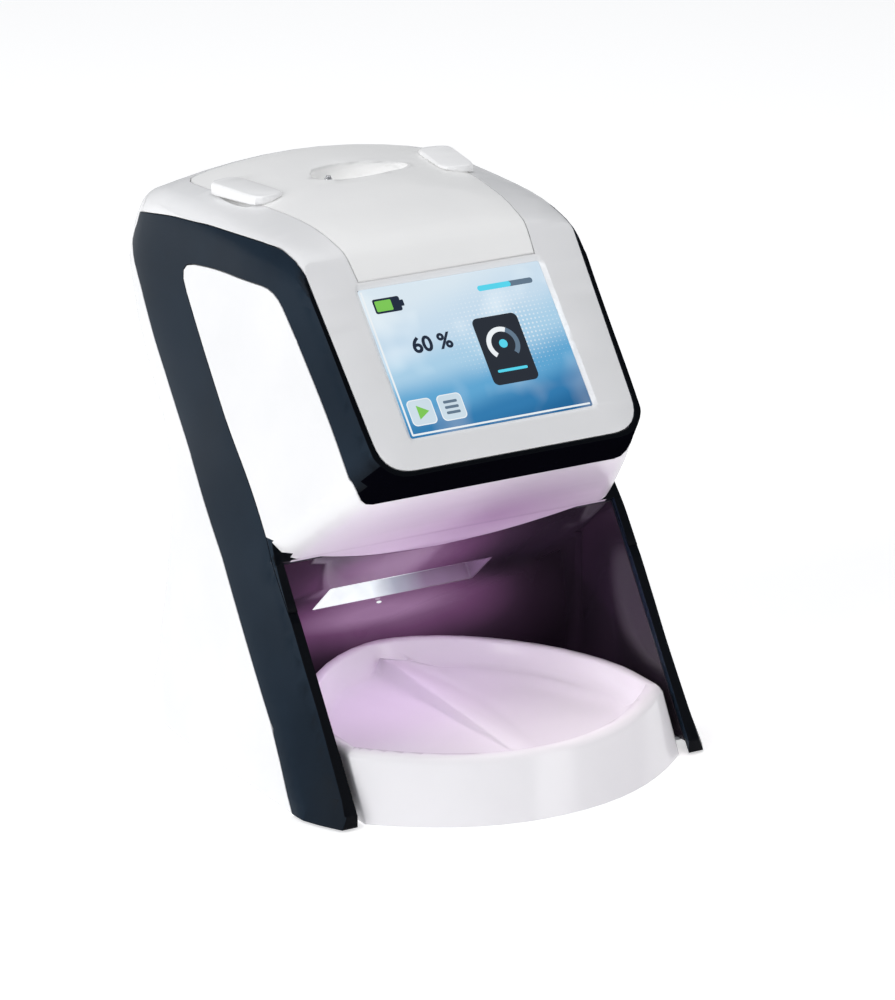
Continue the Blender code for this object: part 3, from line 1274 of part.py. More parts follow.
def make_liner(finish):
    """Wall of the bay behind the arms and over the tray, with the exit slot."""
    liner = crop(bay_solid(WALL), behind_arm_wall(SEAM))
    liner.name = "bay_liner"
    cut(liner, bay_solid(0.0))
    cut(liner, chin_slab(SEAM))
    cut(liner, box("below", (-HALF_DEPTH, -HALF_DEPTH, -OVERRUN * 4),
                   (HALF_DEPTH, HALF_DEPTH, BASE_TOP + CLEARANCE)))
    outline = rounded_rectangle(SLOT_HALF, slot_half_tall(), CHUTE_WALL, 2)
    cut(liner, in_chute(prism("slot", outline, -OVERRUN, OVERRUN)))
    return clean(liner, finish)


def main():
    for thing in list(bpy.data.objects):
        bpy.data.objects.remove(thing, do_unlink=True)
    white = material("shell_white", (0.86, 0.86, 0.87), 0.28)
    skin = make_skin()
    make_frame(skin, material("frame_blue_grey", (0.020, 0.028, 0.040), 0.30))
    clean(crop(copy_of(skin, "head_shell"), head_region(0.0)), white)
    make_top_shell(skin, white)
    make_rear_housing(skin, white)
    make_liner(material("liner_smoke", (0.030, 0.024, 0.036), 0.12))
    make_lid(skin)
    drop(skin)
    make_catch()
    make_screen()
    make_chute()
    make_tray()
    make_base()
    make_chassis()
    make_drive()
    make_carriage()
    make_optics()
    make_boards()
    make_rear_panel()


main()
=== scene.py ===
# Looks of the phosphor plate scanner: finishes, the lit screen, the light in the bay, camera and studio.
# Metres, +Z up, front towards -Y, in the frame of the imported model.

import bisect
import json
import math

import bmesh
import bpy
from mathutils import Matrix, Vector
from mathutils.bvhtree import BVHTree

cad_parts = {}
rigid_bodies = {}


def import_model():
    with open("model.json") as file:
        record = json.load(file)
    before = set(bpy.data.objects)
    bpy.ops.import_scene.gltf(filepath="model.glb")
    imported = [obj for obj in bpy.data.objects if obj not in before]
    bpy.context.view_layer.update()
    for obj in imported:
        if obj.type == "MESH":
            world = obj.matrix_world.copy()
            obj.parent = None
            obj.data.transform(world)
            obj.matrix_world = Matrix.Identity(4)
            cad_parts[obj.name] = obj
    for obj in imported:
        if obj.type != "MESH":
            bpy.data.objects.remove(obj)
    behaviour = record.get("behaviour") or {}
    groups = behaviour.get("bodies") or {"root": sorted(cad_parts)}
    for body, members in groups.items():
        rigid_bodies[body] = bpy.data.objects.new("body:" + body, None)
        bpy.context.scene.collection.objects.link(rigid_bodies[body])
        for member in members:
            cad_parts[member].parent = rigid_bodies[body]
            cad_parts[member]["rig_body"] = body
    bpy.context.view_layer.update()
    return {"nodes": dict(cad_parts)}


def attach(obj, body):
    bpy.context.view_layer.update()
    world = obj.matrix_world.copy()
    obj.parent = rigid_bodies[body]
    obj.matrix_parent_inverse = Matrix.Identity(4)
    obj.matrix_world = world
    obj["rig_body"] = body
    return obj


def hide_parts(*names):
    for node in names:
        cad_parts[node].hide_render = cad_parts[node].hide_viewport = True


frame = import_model()


# Flat faces of the solids that the looks are measured from

FACE_TOWARD = 0.9
FACE_FLAT = 0.9995


def face_of(name, toward):
    """Middle of a node's largest flat face that looks toward a direction, and its axes."""
    mesh = frame["nodes"][name].data
    faces = [face for face in mesh.polygons if face.normal.dot(toward) > FACE_TOWARD]
    largest = max(faces, key=lambda face: face.area).normal
    faces = [face for face in faces if face.normal.dot(largest) > FACE_FLAT]
    outward = sum((face.normal * face.area for face in faces), Vector()).normalized()
    points = [mesh.vertices[index].co for face in faces for index in face.vertices]
    across = Vector((1.0, 0.0, 0.0))
    upward = outward.cross(across)
    middle = Vector()
    for axis in (across, upward, outward):
        marks = [point.dot(axis) for point in points]
        middle += axis * (min(marks) + max(marks)) / 2
    return middle, across, upward, outward


SCREEN_FACE = face_of("touch_glass", Vector((0.0, -0.76, 0.65)))
CHIN_FACE = face_of("head_shell", Vector((0.0, -0.67, -0.74)))


# Node trees

EDGE_RADIUS = 0.0006
BEVEL_SAMPLES = 4
# Inputs and output of a mix node that are used when it mixes colours
MIX_SHARE, MIX_FIRST, MIX_SECOND = 0, 6, 7
MIX_COLOUR = 2


def node(tree, kind, settings=None, **inputs):
    """Adds a shader node, with its settings and the values of its inputs."""
    made = tree.nodes.new(kind)
    for name, value in (settings or {}).items():
        setattr(made, name, value)
    for name, value in inputs.items():
        made.inputs[name.replace("_", " ")].default_value = value
    return made


def feed(tree, made, index, value):
    """Links an input to another node's output, or gives it a plain value."""
    if isinstance(value, bpy.types.NodeSocket):
        tree.links.new(value, made.inputs[index])
    else:
        made.inputs[index].default_value = value


def finish(name, colour, roughness, metallic=0.0, **inputs):
    """A Principled material, with object coordinates in metres ready for its texture."""
    made = bpy.data.materials.new(name)
    made.use_nodes = True
    tree = made.node_tree
    shader = tree.nodes["Principled BSDF"]
    shader.inputs["Base Color"].default_value = (*colour, 1.0)
    shader.inputs["Roughness"].default_value = roughness
    shader.inputs["Metallic"].default_value = metallic
    for title, value in inputs.items():
        shader.inputs[title.replace("_", " ")].default_value = value
    place = tree.nodes.new("ShaderNodeTexCoord").outputs["Object"]
    return made, tree, shader, place


def noise(tree, place, scale, detail=2.0, roughness=0.5):
    made = node(tree, "ShaderNodeTexNoise", Scale=scale, Detail=detail, Roughness=roughness)
    tree.links.new(place, made.inputs["Vector"])
    return made.outputs["Fac"]


def spread(tree, value, low, high, start=0.0, end=1.0):
    """Maps start..end to low..high."""
    made = node(tree, "ShaderNodeMapRange")
    for index, number in enumerate((start, end, low, high), 1):
        made.inputs[index].default_value = number
    tree.links.new(value, made.inputs["Value"])
    return made.outputs["Result"]


def ramp(tree, value, stops, easing="LINEAR"):
    """Colours along a value, through stops of place and colour."""
    made = tree.nodes.new("ShaderNodeValToRGB")
    made.color_ramp.interpolation = easing
    while len(made.color_ramp.elements) < len(stops):
        made.color_ramp.elements.new(0.5)
    for element, (place, colour) in zip(made.color_ramp.elements, stops):
        element.position = place
        element.color = (*colour, 1.0)
    tree.links.new(value, made.inputs["Fac"])
    return made.outputs["Color"]


def mix(tree, blend, first, second, share=1.0):
    """Mixes two colours, each a node's output or a plain colour."""
    made = node(tree, "ShaderNodeMix", {"data_type": "RGBA", "blend_type": blend})
    for index, value in ((MIX_SHARE, share), (MIX_FIRST, first), (MIX_SECOND, second)):
        feed(tree, made, index, value)
    return made.outputs[MIX_COLOUR]


def math_node(tree, operation, first, second=0.0):
    made = node(tree, "ShaderNodeMath", {"operation": operation})
    for index, value in enumerate((first, second)):
        feed(tree, made, index, value)
    return made.outputs["Value"]


def vector_node(tree, operation, vector, operand=None):
    """An operation on a linked vector and, where it takes one, a fixed second vector."""
    made = node(tree, "ShaderNodeVectorMath", {"operation": operation})
    tree.links.new(vector, made.inputs[0])
    if operand is not None:
        made.inputs[1].default_value = operand
    return made.outputs


def axes_of(tree, vector):
    """The three parts of a vector, as separate values."""
    parts = tree.nodes.new("ShaderNodeSeparateXYZ")
    tree.links.new(vector, parts.inputs["Vector"])
    return parts.outputs


def lean_of(tree, axis):
    """How far the surface looks along an axis, from -1 to 1."""
    return axes_of(tree, tree.nodes.new("ShaderNodeNewGeometry").outputs["Normal"])[axis]


def glow_ball(tree, place, centre, radii, power):
    """1 at the centre, falling off to 0 over an ellipsoid of these radii."""
    shift = vector_node(tree, "SUBTRACT", place, centre)["Vector"]
    scaled = vector_node(tree, "DIVIDE", shift, radii)["Vector"]
    length = vector_node(tree, "LENGTH", scaled)["Value"]
    return math_node(tree, "POWER", spread(tree, length, 1.0, 0.0), power)


def bump(tree, shader, height, strength, distance):
    """Relief from a height, over edges that are rounded a little."""
    made = node(tree, "ShaderNodeBump", Strength=strength, Distance=distance)
    soft = node(tree, "ShaderNodeBevel", {"samples": BEVEL_SAMPLES}, Radius=EDGE_RADIUS)
    tree.links.new(soft.outputs["Normal"], made.inputs["Normal"])
    tree.links.new(height, made.inputs["Height"])
    tree.links.new(made.outputs["Normal"], shader.inputs["Normal"])


def give_light(tree, shader, colour, strength):
    """Lets the surface shine by itself in a colour that varies over it."""
    tree.links.new(colour, shader.inputs["Emission Color"])
    shader.inputs["Emission Strength"].default_value = strength


# Finishes of moulded plastic and metal

SLOW_SCALE, SLOW_DETAIL = 22.0, 3.0
SHADE_STOPS = (0.35, 0.65)
GLOSS_SHARES = (0.88, 1.12)
GRAIN_STRENGTH = 0.35


def mould_texture(tree, shader, place, shades, gloss, grain, depth):
    """Fine mould texture and a slow change of gloss. Returns the slow change between two shades."""
    slow = noise(tree, place, SLOW_SCALE, SLOW_DETAIL)
    tree.links.new(spread(tree, slow, *gloss), shader.inputs["Roughness"])
    bump(tree, shader, noise(tree, place, grain), GRAIN_STRENGTH, depth)
    return ramp(tree, slow, tuple(zip(SHADE_STOPS, shades)))


def moulded(name, colour, roughness, grain=2600.0, depth=0.00002, shade=0.03, **inputs):
    """Moulded plastic or plain metal, with a faint change of shade and gloss about its own."""
    made, tree, shader, place = finish(name, colour, roughness, **inputs)
    shades = [tuple(min(channel * share, 1.0) for channel in colour) for share in (1 - shade, 1 + shade)]
    gloss = [roughness * share for share in GLOSS_SHARES]
    base = mould_texture(tree, shader, place, shades, gloss, grain, depth)
    tree.links.new(base, shader.inputs["Base Color"])
    return made


# The chin's painted violet light: how far a face must look down to take it, and the place, reach and
# falloff of the painted light
CHIN_LEAN = (-0.15, -0.70)
CHIN_GLOW = ((0.022, -0.052, 0.120), (0.125, 0.075, 0.075), 0.8)
CHIN_PAINTED_VIOLET_LIGHT = (0.42, 0.295, 0.44, 1.0)


def white_shell():
    """Satin white plastic, with the violet light that the chin catches painted into its base colour."""
    made, tree, shader, place = finish("shell_white", (0.88, 0.88, 0.89), 0.26)
    shades = ((0.87, 0.875, 0.885), (0.90, 0.90, 0.91))
    base = mould_texture(tree, shader, place, shades, (0.23, 0.29), 1500.0, 0.000012)
    under = spread(tree, lean_of(tree, "Z"), 0.0, 1.0, *CHIN_LEAN)
    share = math_node(tree, "MULTIPLY", under, glow_ball(tree, place, *CHIN_GLOW))
    # Painted light: faces of the chin that look down are tinted violet in the base colour, most strongly
    # near the bay.
    tree.links.new(mix(tree, "MULTIPLY", base, CHIN_PAINTED_VIOLET_LIGHT, share), shader.inputs["Base Color"])
    return made


# The loading well's painted light: place, reach and falloff of its brightness, and the painted light from
# rim to middle; the rim's faint value lies over the whole lid
WELL_PAINTED_GLOW = ((0.005, 0.058, 0.262), (0.036, 0.021, 0.022), 0.7)
WELL_PAINTED_LIGHT_TONES = ((0.0, (0.06, 0.06, 0.055)), (1.0, (0.42, 0.42, 0.41)))


def grey_lid():
    """Light grey satin plastic, with painted light: a faint glow over the whole lid, brighter in the hollow
    of the loading well.
    """
    made, tree, shader, place = finish("lid_light_grey", (0.93, 0.93, 0.93), 0.42)
    shades = ((0.915, 0.915, 0.92), (0.945, 0.945, 0.945))
    base = mould_texture(tree, shader, place, shades, (0.38, 0.46), 2600.0, 0.00002)
    tree.links.new(base, shader.inputs["Base Color"])
    # Painted light: the lid gives off a faint glow everywhere, brightest in the loading well.
    give_light(tree, shader, ramp(tree, glow_ball(tree, place, *WELL_PAINTED_GLOW), WELL_PAINTED_LIGHT_TONES), 1.0)
    return made


# The frame's painted shade: how far a face must look forward to be darkened, how much of it is, and how
# dark the painted shade is
FRONT_SHADE_LEAN = (-0.25, -0.65)
FRONT_SHADE_SHARE = 0.92
FRONT_PAINTED_SHADE = (0.0005, 0.0005, 0.0012, 1.0)


def dark_frame():
    """Slate-black satin plastic, with painted shade that makes the faces that look forward almost black."""
    made, tree, shader, place = finish("frame_dark", (0.012, 0.022, 0.036), 0.36, Specular_IOR_Level=0.06)
    shades = ((0.0105, 0.0190, 0.0310), (0.0130, 0.0235, 0.0380))
    base = mould_texture(tree, shader, place, shades, (0.32, 0.40), 3200.0, 0.00002)
    # Painted shade: faces that look forward are mixed towards near black.
    share = spread(tree, lean_of(tree, "Y"), 0.0, FRONT_SHADE_SHARE, *FRONT_SHADE_LEAN)
    tree.links.new(mix(tree, "MIX", base, FRONT_PAINTED_SHADE, share), shader.inputs["Base Color"])
    return made


# Finishes that give off light: painted light on the liner and the chute, and the screen's own light

# Painted violet light on the liner: place, reach along each axis, and strength
LINER_PAINTED_GLOWS = (
    ((-0.020, 0.018, 0.080), (0.085, 0.070, 0.055), 0.60),
    ((-0.008, -0.012, 0.108), (0.085, 0.052, 0.048), 0.95),
    ((-0.004, 0.038, 0.050), (0.098, 0.055, 0.042), 1.05),
    ((0.050, 0.060, 0.050), (0.085, 0.075, 0.050), 0.50),
)
LINER_FALLOFF = 1.4
LINER_UNEVEN = (0.85, 1.15)
LINER_PAINTED_TONES = (
    (0.0, (0.0, 0.0, 0.0)), (0.18, (0.026, 0.012, 0.026)), (0.50, (0.130, 0.050, 0.125)),
    (1.0, (0.320, 0.175, 0.320)),
)
LINER_LIGHT = 0.9


def smoke_liner():
    """Glossy smoked plastic, with the eraser's violet light round the slot painted on as a glow."""
    made, tree, shader, place = finish("liner_smoke", (0.018, 0.013, 0.020), 0.09)
    slow = noise(tree, place, 30.0, 3.0)
    tree.links.new(spread(tree, slow, 0.07, 0.13), shader.inputs["Roughness"])
    bump(tree, shader, noise(tree, place, 700.0), 0.25, 0.000004)
    total = 0.0
    for centre, radii, share in LINER_PAINTED_GLOWS:
        ball = glow_ball(tree, place, centre, radii, LINER_FALLOFF)
        total = math_node(tree, "ADD", math_node(tree, "MULTIPLY", ball, share), total)
    total = math_node(tree, "MULTIPLY", total, spread(tree, slow, *LINER_UNEVEN))
    # Painted light: the violet glow is emission laid over the liner.
    give_light(tree, shader, ramp(tree, total, LINER_PAINTED_TONES), LINER_LIGHT)
    return made


# The chute's painted light along its width, from left to right, and the streaks in it
CHUTE_SPAN = (-0.050, 0.050)
CHUTE_PAINTED_TONES = (
    (0.0, (0.95, 1.0, 1.0)), (0.38, (0.90, 0.97, 1.0)), (0.52, (0.32, 0.36, 0.42)),
    (0.70, (0.11, 0.07, 0.12)), (1.0, (0.05, 0.02, 0.05)),
)
CHUTE_STREAKS = ((0.3, (0.85, 0.85, 0.85)), (0.7, (1.0, 1.0, 1.0)))
CHUTE_LIGHT = 0.95


def lit_chute():
    """White lamp housing behind the slot, with painted light that is bright at its left end and dark at its
    right.
    """
    made, tree, shader, place = finish("chute_white", (0.16, 0.13, 0.17), 0.30)
    along = spread(tree, axes_of(tree, place)["X"], 0.0, 1.0, *CHUTE_SPAN)
    streaks = ramp(tree, noise(tree, place, 90.0), CHUTE_STREAKS)
    # Painted light: the chute's glow fades from its bright left end to its dark right end.
    give_light(tree, shader, mix(tree, "MULTIPLY", ramp(tree, along, CHUTE_PAINTED_TONES), streaks), CHUTE_LIGHT)
    bump(tree, shader, noise(tree, place, 1800.0), 0.3, 0.00001)
    return made


# The screen's tones run up its slope, slanted and gently bent
SCREEN_SLANT = -0.22
SCREEN_BEND = 0.012
SCREEN_SPAN = (-0.046, 0.040)
SCREEN_TONES = (
    (0.0, (0.012, 0.135, 0.330)), (0.16, (0.030, 0.205, 0.450)), (0.34, (0.120, 0.400, 0.680)),
    (0.54, (0.420, 0.660, 0.850)), (0.74, (0.600, 0.760, 0.900)), (1.0, (0.740, 0.850, 0.930)),
)
SCREEN_VEIL = ((0.52, (0.0, 0.0, 0.0)), (0.74, (0.20, 0.16, 0.11)))
SCREEN_LIGHT = 0.93
# The field of dots: pitch, its middle across and up from the screen's, reach, and how dots grow towards it
DOT_PITCH = 0.00235
DOT_MIDDLE = (0.020, 0.008)
DOT_REACH = (0.046, 0.030, 0.030)
DOT_EDGE, DOT_CORE = 0.995, 0.62
DOT_SHARE, DOT_FULL = 0.62, 0.7
DOT_COLOUR = (0.93, 0.97, 1.0, 1.0)


def lcd_glass():
    """The lit screen under its glass: pale at the top left, deep blue below, dots at the right."""
    made, tree, shader, place = finish("screen_glass", (0.0, 0.0, 0.0), 0.07, Specular_IOR_Level=0.35)
    centre, across, upward, _ = SCREEN_FACE

    def measure(direction):
        along = vector_node(tree, "DOT_PRODUCT", place, direction)["Value"]
        return math_node(tree, "SUBTRACT", along, direction.dot(centre))

    u, v = measure(across), measure(upward)
    bend = spread(tree, noise(tree, place, 16.0, 2.0, 0.4), -SCREEN_BEND, SCREEN_BEND)
    slanted = math_node(tree, "ADD", v, math_node(tree, "MULTIPLY", u, SCREEN_SLANT))
    level = spread(tree, math_node(tree, "ADD", slanted, bend), 0.0, 1.0, *SCREEN_SPAN)
    base = ramp(tree, level, SCREEN_TONES, "EASE")
    veil = ramp(tree, noise(tree, place, 34.0, 2.0, 0.4), SCREEN_VEIL)
    lit_base = mix(tree, "ADD", base, veil)

    waves = []
    for value in (u, v):
        turn = math_node(tree, "MULTIPLY", value, 1 / DOT_PITCH * math.pi)
        waves.append(math_node(tree, "ABSOLUTE", math_node(tree, "SINE", turn)))
    middle = centre + across * DOT_MIDDLE[0] + upward * DOT_MIDDLE[1]
    reach = glow_ball(tree, place, middle, DOT_REACH, 1.0)
    size = spread(tree, reach, DOT_EDGE, DOT_CORE)
    dots = math_node(tree, "GREATER_THAN", math_node(tree, "MULTIPLY", *waves), size)
    amount = math_node(tree, "MULTIPLY", dots, spread(tree, reach, 0.0, DOT_SHARE, 0.0, DOT_FULL))
    give_light(tree, shader, mix(tree, "MIX", lit_base, DOT_COLOUR, amount), SCREEN_LIGHT)
    return made


FINISHES = {
    "shell_white": white_shell(),
    "frame_dark": dark_frame(),
    "lid_light_grey": grey_lid(),
    "tray_white": moulded("tray_white", (0.945, 0.935, 0.96), 0.14, 900.0, 0.000006, 0.01),
    # Painted light: the tabs' white finish gives off a faint white glow.
    "tab_white_painted_glow": moulded("tab_white_painted_glow", (0.94, 0.94, 0.945), 0.26, 1500.0, 0.000012, 0.01,
                         Emission_Color=(1.0, 1.0, 1.0, 1.0), Emission_Strength=0.11),
    # Painted shade: a darker copy of the frame's finish, without reflection, for its face under the bezel.
    "prow_painted_shade": moulded("prow_painted_shade", (0.0015, 0.0015, 0.0030), 0.55, 3200.0, 0.00002, 0.03,
                          Specular_IOR_Level=0.0),
    "liner_smoke": smoke_liner(),
    "chute_white": lit_chute(),
    "catch_chrome": moulded("catch_chrome", (0.75, 0.76, 0.78), 0.14, 4000.0, 0.000003, 0.02, metallic=1.0),
    "screen_glass": lcd_glass(),
}
# The other finishes: colour, roughness, how metallic
PLAIN_FINISHES = {
    "module_black": ((0.03, 0.03, 0.035), 0.50, 0.0),
    "base_steel": ((0.42, 0.43, 0.45), 0.42, 1.0),
    "foot_rubber": ((0.03, 0.03, 0.03), 0.80, 0.0),
    "screw_steel": ((0.55, 0.55, 0.57), 0.30, 1.0),
    "chassis_steel": ((0.50, 0.51, 0.53), 0.40, 1.0),
    "rod_steel": ((0.62, 0.62, 0.64), 0.20, 1.0),
    "screw_bronze": ((0.55, 0.42, 0.25), 0.35, 1.0),
    "motor_black": ((0.04, 0.04, 0.045), 0.45, 0.4),
    "carriage_polymer": ((0.10, 0.11, 0.12), 0.50, 0.0),
    "optics_black": ((0.02, 0.02, 0.025), 0.40, 0.0),
    "tube_metal": ((0.35, 0.36, 0.38), 0.35, 0.8),
    "eraser_grey": ((0.60, 0.62, 0.65), 0.40, 0.0),
    "board_green": ((0.02, 0.14, 0.06), 0.50, 0.0),
    "supply_metal": ((0.55, 0.56, 0.58), 0.40, 0.9),
    "panel_grey": ((0.20, 0.21, 0.22), 0.45, 0.0),
    "socket_black": ((0.03, 0.03, 0.03), 0.50, 0.0),
    "socket_metal": ((0.60, 0.60, 0.62), 0.30, 1.0),
    "rocker_black": ((0.02, 0.02, 0.02), 0.35, 0.0),
    "contact_gold": ((0.80, 0.62, 0.28), 0.25, 1.0),
}
for title, (colour, roughness, metallic) in PLAIN_FINISHES.items():
    FINISHES[title] = moulded(title, colour, roughness, metallic=metallic)


# The body's side surface, from the same tables as the solids

BODY_HEIGHT = 0.2822
HALF_DEPTH = 0.1548
FOOT_HALF_WIDTH = 0.1167
ARM_TOP_Y, ARM_TOP_Z = -0.24548 * HALF_DEPTH, 0.43941 * BODY_HEIGHT
ARM_FOOT_Y = -0.78165 * HALF_DEPTH
# Levels of the body: height share, half width share, rear depth share, squareness
LEVEL_SHARES = (
    (0.000, 1.000, 0.911, 2.6),
    (0.030, 0.996, 0.905, 2.55),
    (0.078, 0.985, 0.893, 2.5),
    (0.177, 0.967, 0.868, 2.45),
    (0.262, 0.948, 0.852, 2.4),
    (0.350, 0.925, 0.846, 2.4),
    (0.450, 0.895, 0.862, 2.6),
    (0.531, 0.866, 0.888, 3.0),
    (0.588, 0.847, 0.912, 3.7),
    (0.648, 0.824, 0.935, 5.0),
    (0.708, 0.801, 0.956, 7.0),
    (0.764, 0.778, 0.982, 9.0),
    (0.805, 0.763, 1.000, 10.5),
    (0.870, 0.744, 1.000, 9.0),
    (0.920, 0.735, 1.000, 8.0),
    (1.040, 0.722, 1.000, 8.0),
)
HALF_WIDTHS, REAR_DEPTHS, SQUARENESS = 1, 2, 3
SIDE_MIDDLE_SHARE = 0.110
CORNER_REACH = 0.985
# The frame's rear edge seen from the side: height share, depth share
FRAME_REAR_SHARES = (
    (0.0, -0.606), (0.145, -0.368), (0.290, -0.128), (0.380, 0.022), (0.470, 0.200), (0.550, 0.358),
    (0.630, 0.520), (0.685, 0.631), (0.845, 0.926),
)
# How far the arm's face turns in at its front edge: height share, width share
ARM_TURN_SHARES = (
    (0.0, 0.114), (0.078, 0.102), (0.177, 0.090), (0.262, 0.070), (0.350, 0.049), (0.425, 0.036),
    (0.600, 0.034),
)
ARM_TURN_LIMIT, ARM_TURN_POWER = 1.5, 1.3
# The head's sides close in towards the front: start and length along the depth, and how far
HEAD_TAPER_SHARES = (0.12920, 0.77196)
HEAD_TAPER_WIDTH_SHARE = 0.16452
HEAD_TAPER_LIMIT, HEAD_TAPER_POWER = 1.3, 1.6
# Where the arm's form goes over into the head's: start and length up the height
HEAD_BLEND_SHARES = (0.38979, 0.21261)


def clamped(value, low=0.0, high=1.0):
    return min(max(value, low), high)


def smooth_value(rows, key, column=1):
    """Reads a table at key along a monotone cubic through its rows."""
    keys = [row[0] for row in rows]
    values = [row[column] for row in rows]
    if key <= keys[0]:
        return values[0]
    if key >= keys[-1]:
        return values[-1]
    spans = [b - a for a, b in zip(keys, keys[1:])]
    slopes = [(b - a) / span for a, b, span in zip(values, values[1:], spans)]
    tangents = [slopes[0]]
    for left, right in zip(slopes, slopes[1:]):
        tangents.append(0.0 if left * right <= 0 else 2 * left * right / (left + right))
    tangents.append(slopes[-1])
    index = min(bisect.bisect_right(keys, key), len(keys) - 1) - 1
    part = (key - keys[index]) / spans[index]
    ease = part * part * (3 - 2 * part)
    rise = (part ** 3 - 2 * part ** 2 + part) * tangents[index]
    rise += (part ** 3 - part ** 2) * tangents[index + 1]
    return values[index] + ease * (values[index + 1] - values[index]) + rise * spans[index]


def smooth_step(value):
    value = clamped(value)
    return value * value * (3 - 2 * value)


def frame_rear_y(z):
    return smooth_value(FRAME_REAR_SHARES, z / BODY_HEIGHT) * HALF_DEPTH


def arm_front_y(z):
    return ARM_FOOT_Y + (ARM_TOP_Y - ARM_FOOT_Y) * z / ARM_TOP_Z


def half_width(y, z):
    """Half width of the body's side surface, ahead of the rear corners."""
    level = z / BODY_HEIGHT
    widest = smooth_value(LEVEL_SHARES, level, HALF_WIDTHS) * FOOT_HALF_WIDTH
    rear = frame_rear_y(z)
    along = clamped((rear - y) / (rear - arm_front_y(z)), high=ARM_TURN_LIMIT)
    arm = smooth_value(ARM_TURN_SHARES, level) * FOOT_HALF_WIDTH * along ** ARM_TURN_POWER
    start, length = HEAD_TAPER_SHARES
    along = clamped((start - y / HALF_DEPTH) / length, high=HEAD_TAPER_LIMIT)
    head = HEAD_TAPER_WIDTH_SHARE * FOOT_HALF_WIDTH * along ** HEAD_TAPER_POWER
    low, rise = HEAD_BLEND_SHARES
    return widest - arm + (arm - head) * smooth_step((level - low) / rise)


def plan_half_width(y, z):
    """Half width of the body, rear corners included."""
    middle = SIDE_MIDDLE_SHARE * HALF_DEPTH
    if y <= middle:
        return half_width(y, z)
    level = z / BODY_HEIGHT
    rear = smooth_value(LEVEL_SHARES, level, REAR_DEPTHS) * HALF_DEPTH
    square = smooth_value(LEVEL_SHARES, level, SQUARENESS)
    reach = min((y - middle) / (rear - middle), CORNER_REACH)
    return half_width(y, z) * (1 - reach ** square) ** (1 / square)


# Shapes

WELD = 0.000002


def body_of(name):
    return frame["nodes"][name]["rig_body"]


def placed(name, data):
    """A new object in the scene."""
    made = bpy.data.objects.new(name, data)
    bpy.context.scene.collection.objects.link(made)
    return made


def mesh_of(name, shape):
    """Turns an editable shape into a mesh."""
    mesh = bpy.data.meshes.new(name)
    shape.to_mesh(mesh)
    shape.free()
    return mesh


def final_mesh(made):
    """The object's mesh with its modifiers applied."""
    view = bpy.context.evaluated_depsgraph_get()
    return bpy.data.meshes.new_from_object(made.evaluated_get(view))


def cut(shape, place, direction):
    """Splits every face that the plane through this place crosses."""
    whole = shape.verts[:] + shape.edges[:] + shape.faces[:]
    bmesh.ops.bisect_plane(shape, geom=whole, dist=WELD, plane_co=place, plane_no=direction)


# Visible pieces, each from the solid that it stands for

CASING = ("side_frame", "rear_housing", "head_shell", "top_shell", "top_cover")
ROUNDED = ("receiving_tray", "bay_liner")
CASING_FLATNESS = math.radians(0.6)
FLATNESS = math.radians(0.05)
REFINE_STEP = 0.0068
# Points this near the side surface are laid on it whole, and up to the second distance in part
ARM_SHIFTS = (0.0014, 0.0022)
HEAD_SHIFTS = (0.00045, 0.0009)
# The arms' distances hold below the first level and the head's above the second
HEAD_LEVELS = (0.115, 0.145)
# Behind this depth and below this height, the arms' distances hold too
REAR_START = 0.06
REAR_TOP = 0.19
SIDE_END_Y = 0.118


def welded(name, flatness):
    """The node's solid as an editable shape, its corners joined and its flat faces made whole."""
    shape = bmesh.new()
    shape.from_mesh(frame["nodes"][name].data)
    bmesh.ops.remove_doubles(shape, verts=shape.verts, dist=WELD)
    bmesh.ops.dissolve_limit(shape, angle_limit=flatness, verts=shape.verts, edges=shape.edges)
    return shape


def settle_sides(shape):
    """Lays the side faces on the body's true side surface."""
    for point in shape.verts:
        x, y, z = point.co
        if y > SIDE_END_Y:
            continue
        shift = plan_half_width(y, max(z, 0.0)) - abs(x)
        rise = clamped((z - HEAD_LEVELS[0]) / (HEAD_LEVELS[1] - HEAD_LEVELS[0]))
        if y > REAR_START and z < REAR_TOP:
            rise = 0.0
        whole, end = [low + (high - low) * rise for low, high in zip(ARM_SHIFTS, HEAD_SHIFTS)]
        weight = clamped((end - abs(shift)) / (end - whole))
        point.co.x += shift * weight if x > 0 else -shift * weight


def refined(name):
    """A casing piece's solid with more points, its side faces laid on the body's true side surface."""
    shape = welded(name, CASING_FLATNESS)
    for axis in (1, 2):
        places = [point.co[axis] for point in shape.verts]
        low, high = min(places), max(places)
        direction = Vector([1.0 if axis == index else 0.0 for index in range(3)])
        for step in range(1, math.ceil((high - low) / REFINE_STEP)):
            cut(shape, direction * (low + step * REFINE_STEP), direction)
    settle_sides(shape)
    bmesh.ops.triangulate(shape, faces=shape.faces)
    return mesh_of(name + "_refined", shape)


def plain(name):
    """Any other piece's solid."""
    shape = welded(name, FLATNESS)
    bmesh.ops.triangulate(shape, faces=shape.faces)
    return mesh_of(name + "_plain", shape)


# Rounded forms that pieces are shaded by
FORM_VOXEL = 0.0018
FORM_SMOOTHING = 0.5
CASING_ROUNDS = 24
OTHER_ROUNDS = 10
FORM_REACH = 0.0022
# How well directions must agree to be trusted whole, and where trust ends, as cosines
FACE_AGREEMENT = (math.cos(math.radians(9)), math.cos(math.radians(19)))
CORNER_AGREEMENT = (math.cos(math.radians(3)), math.cos(math.radians(8)))


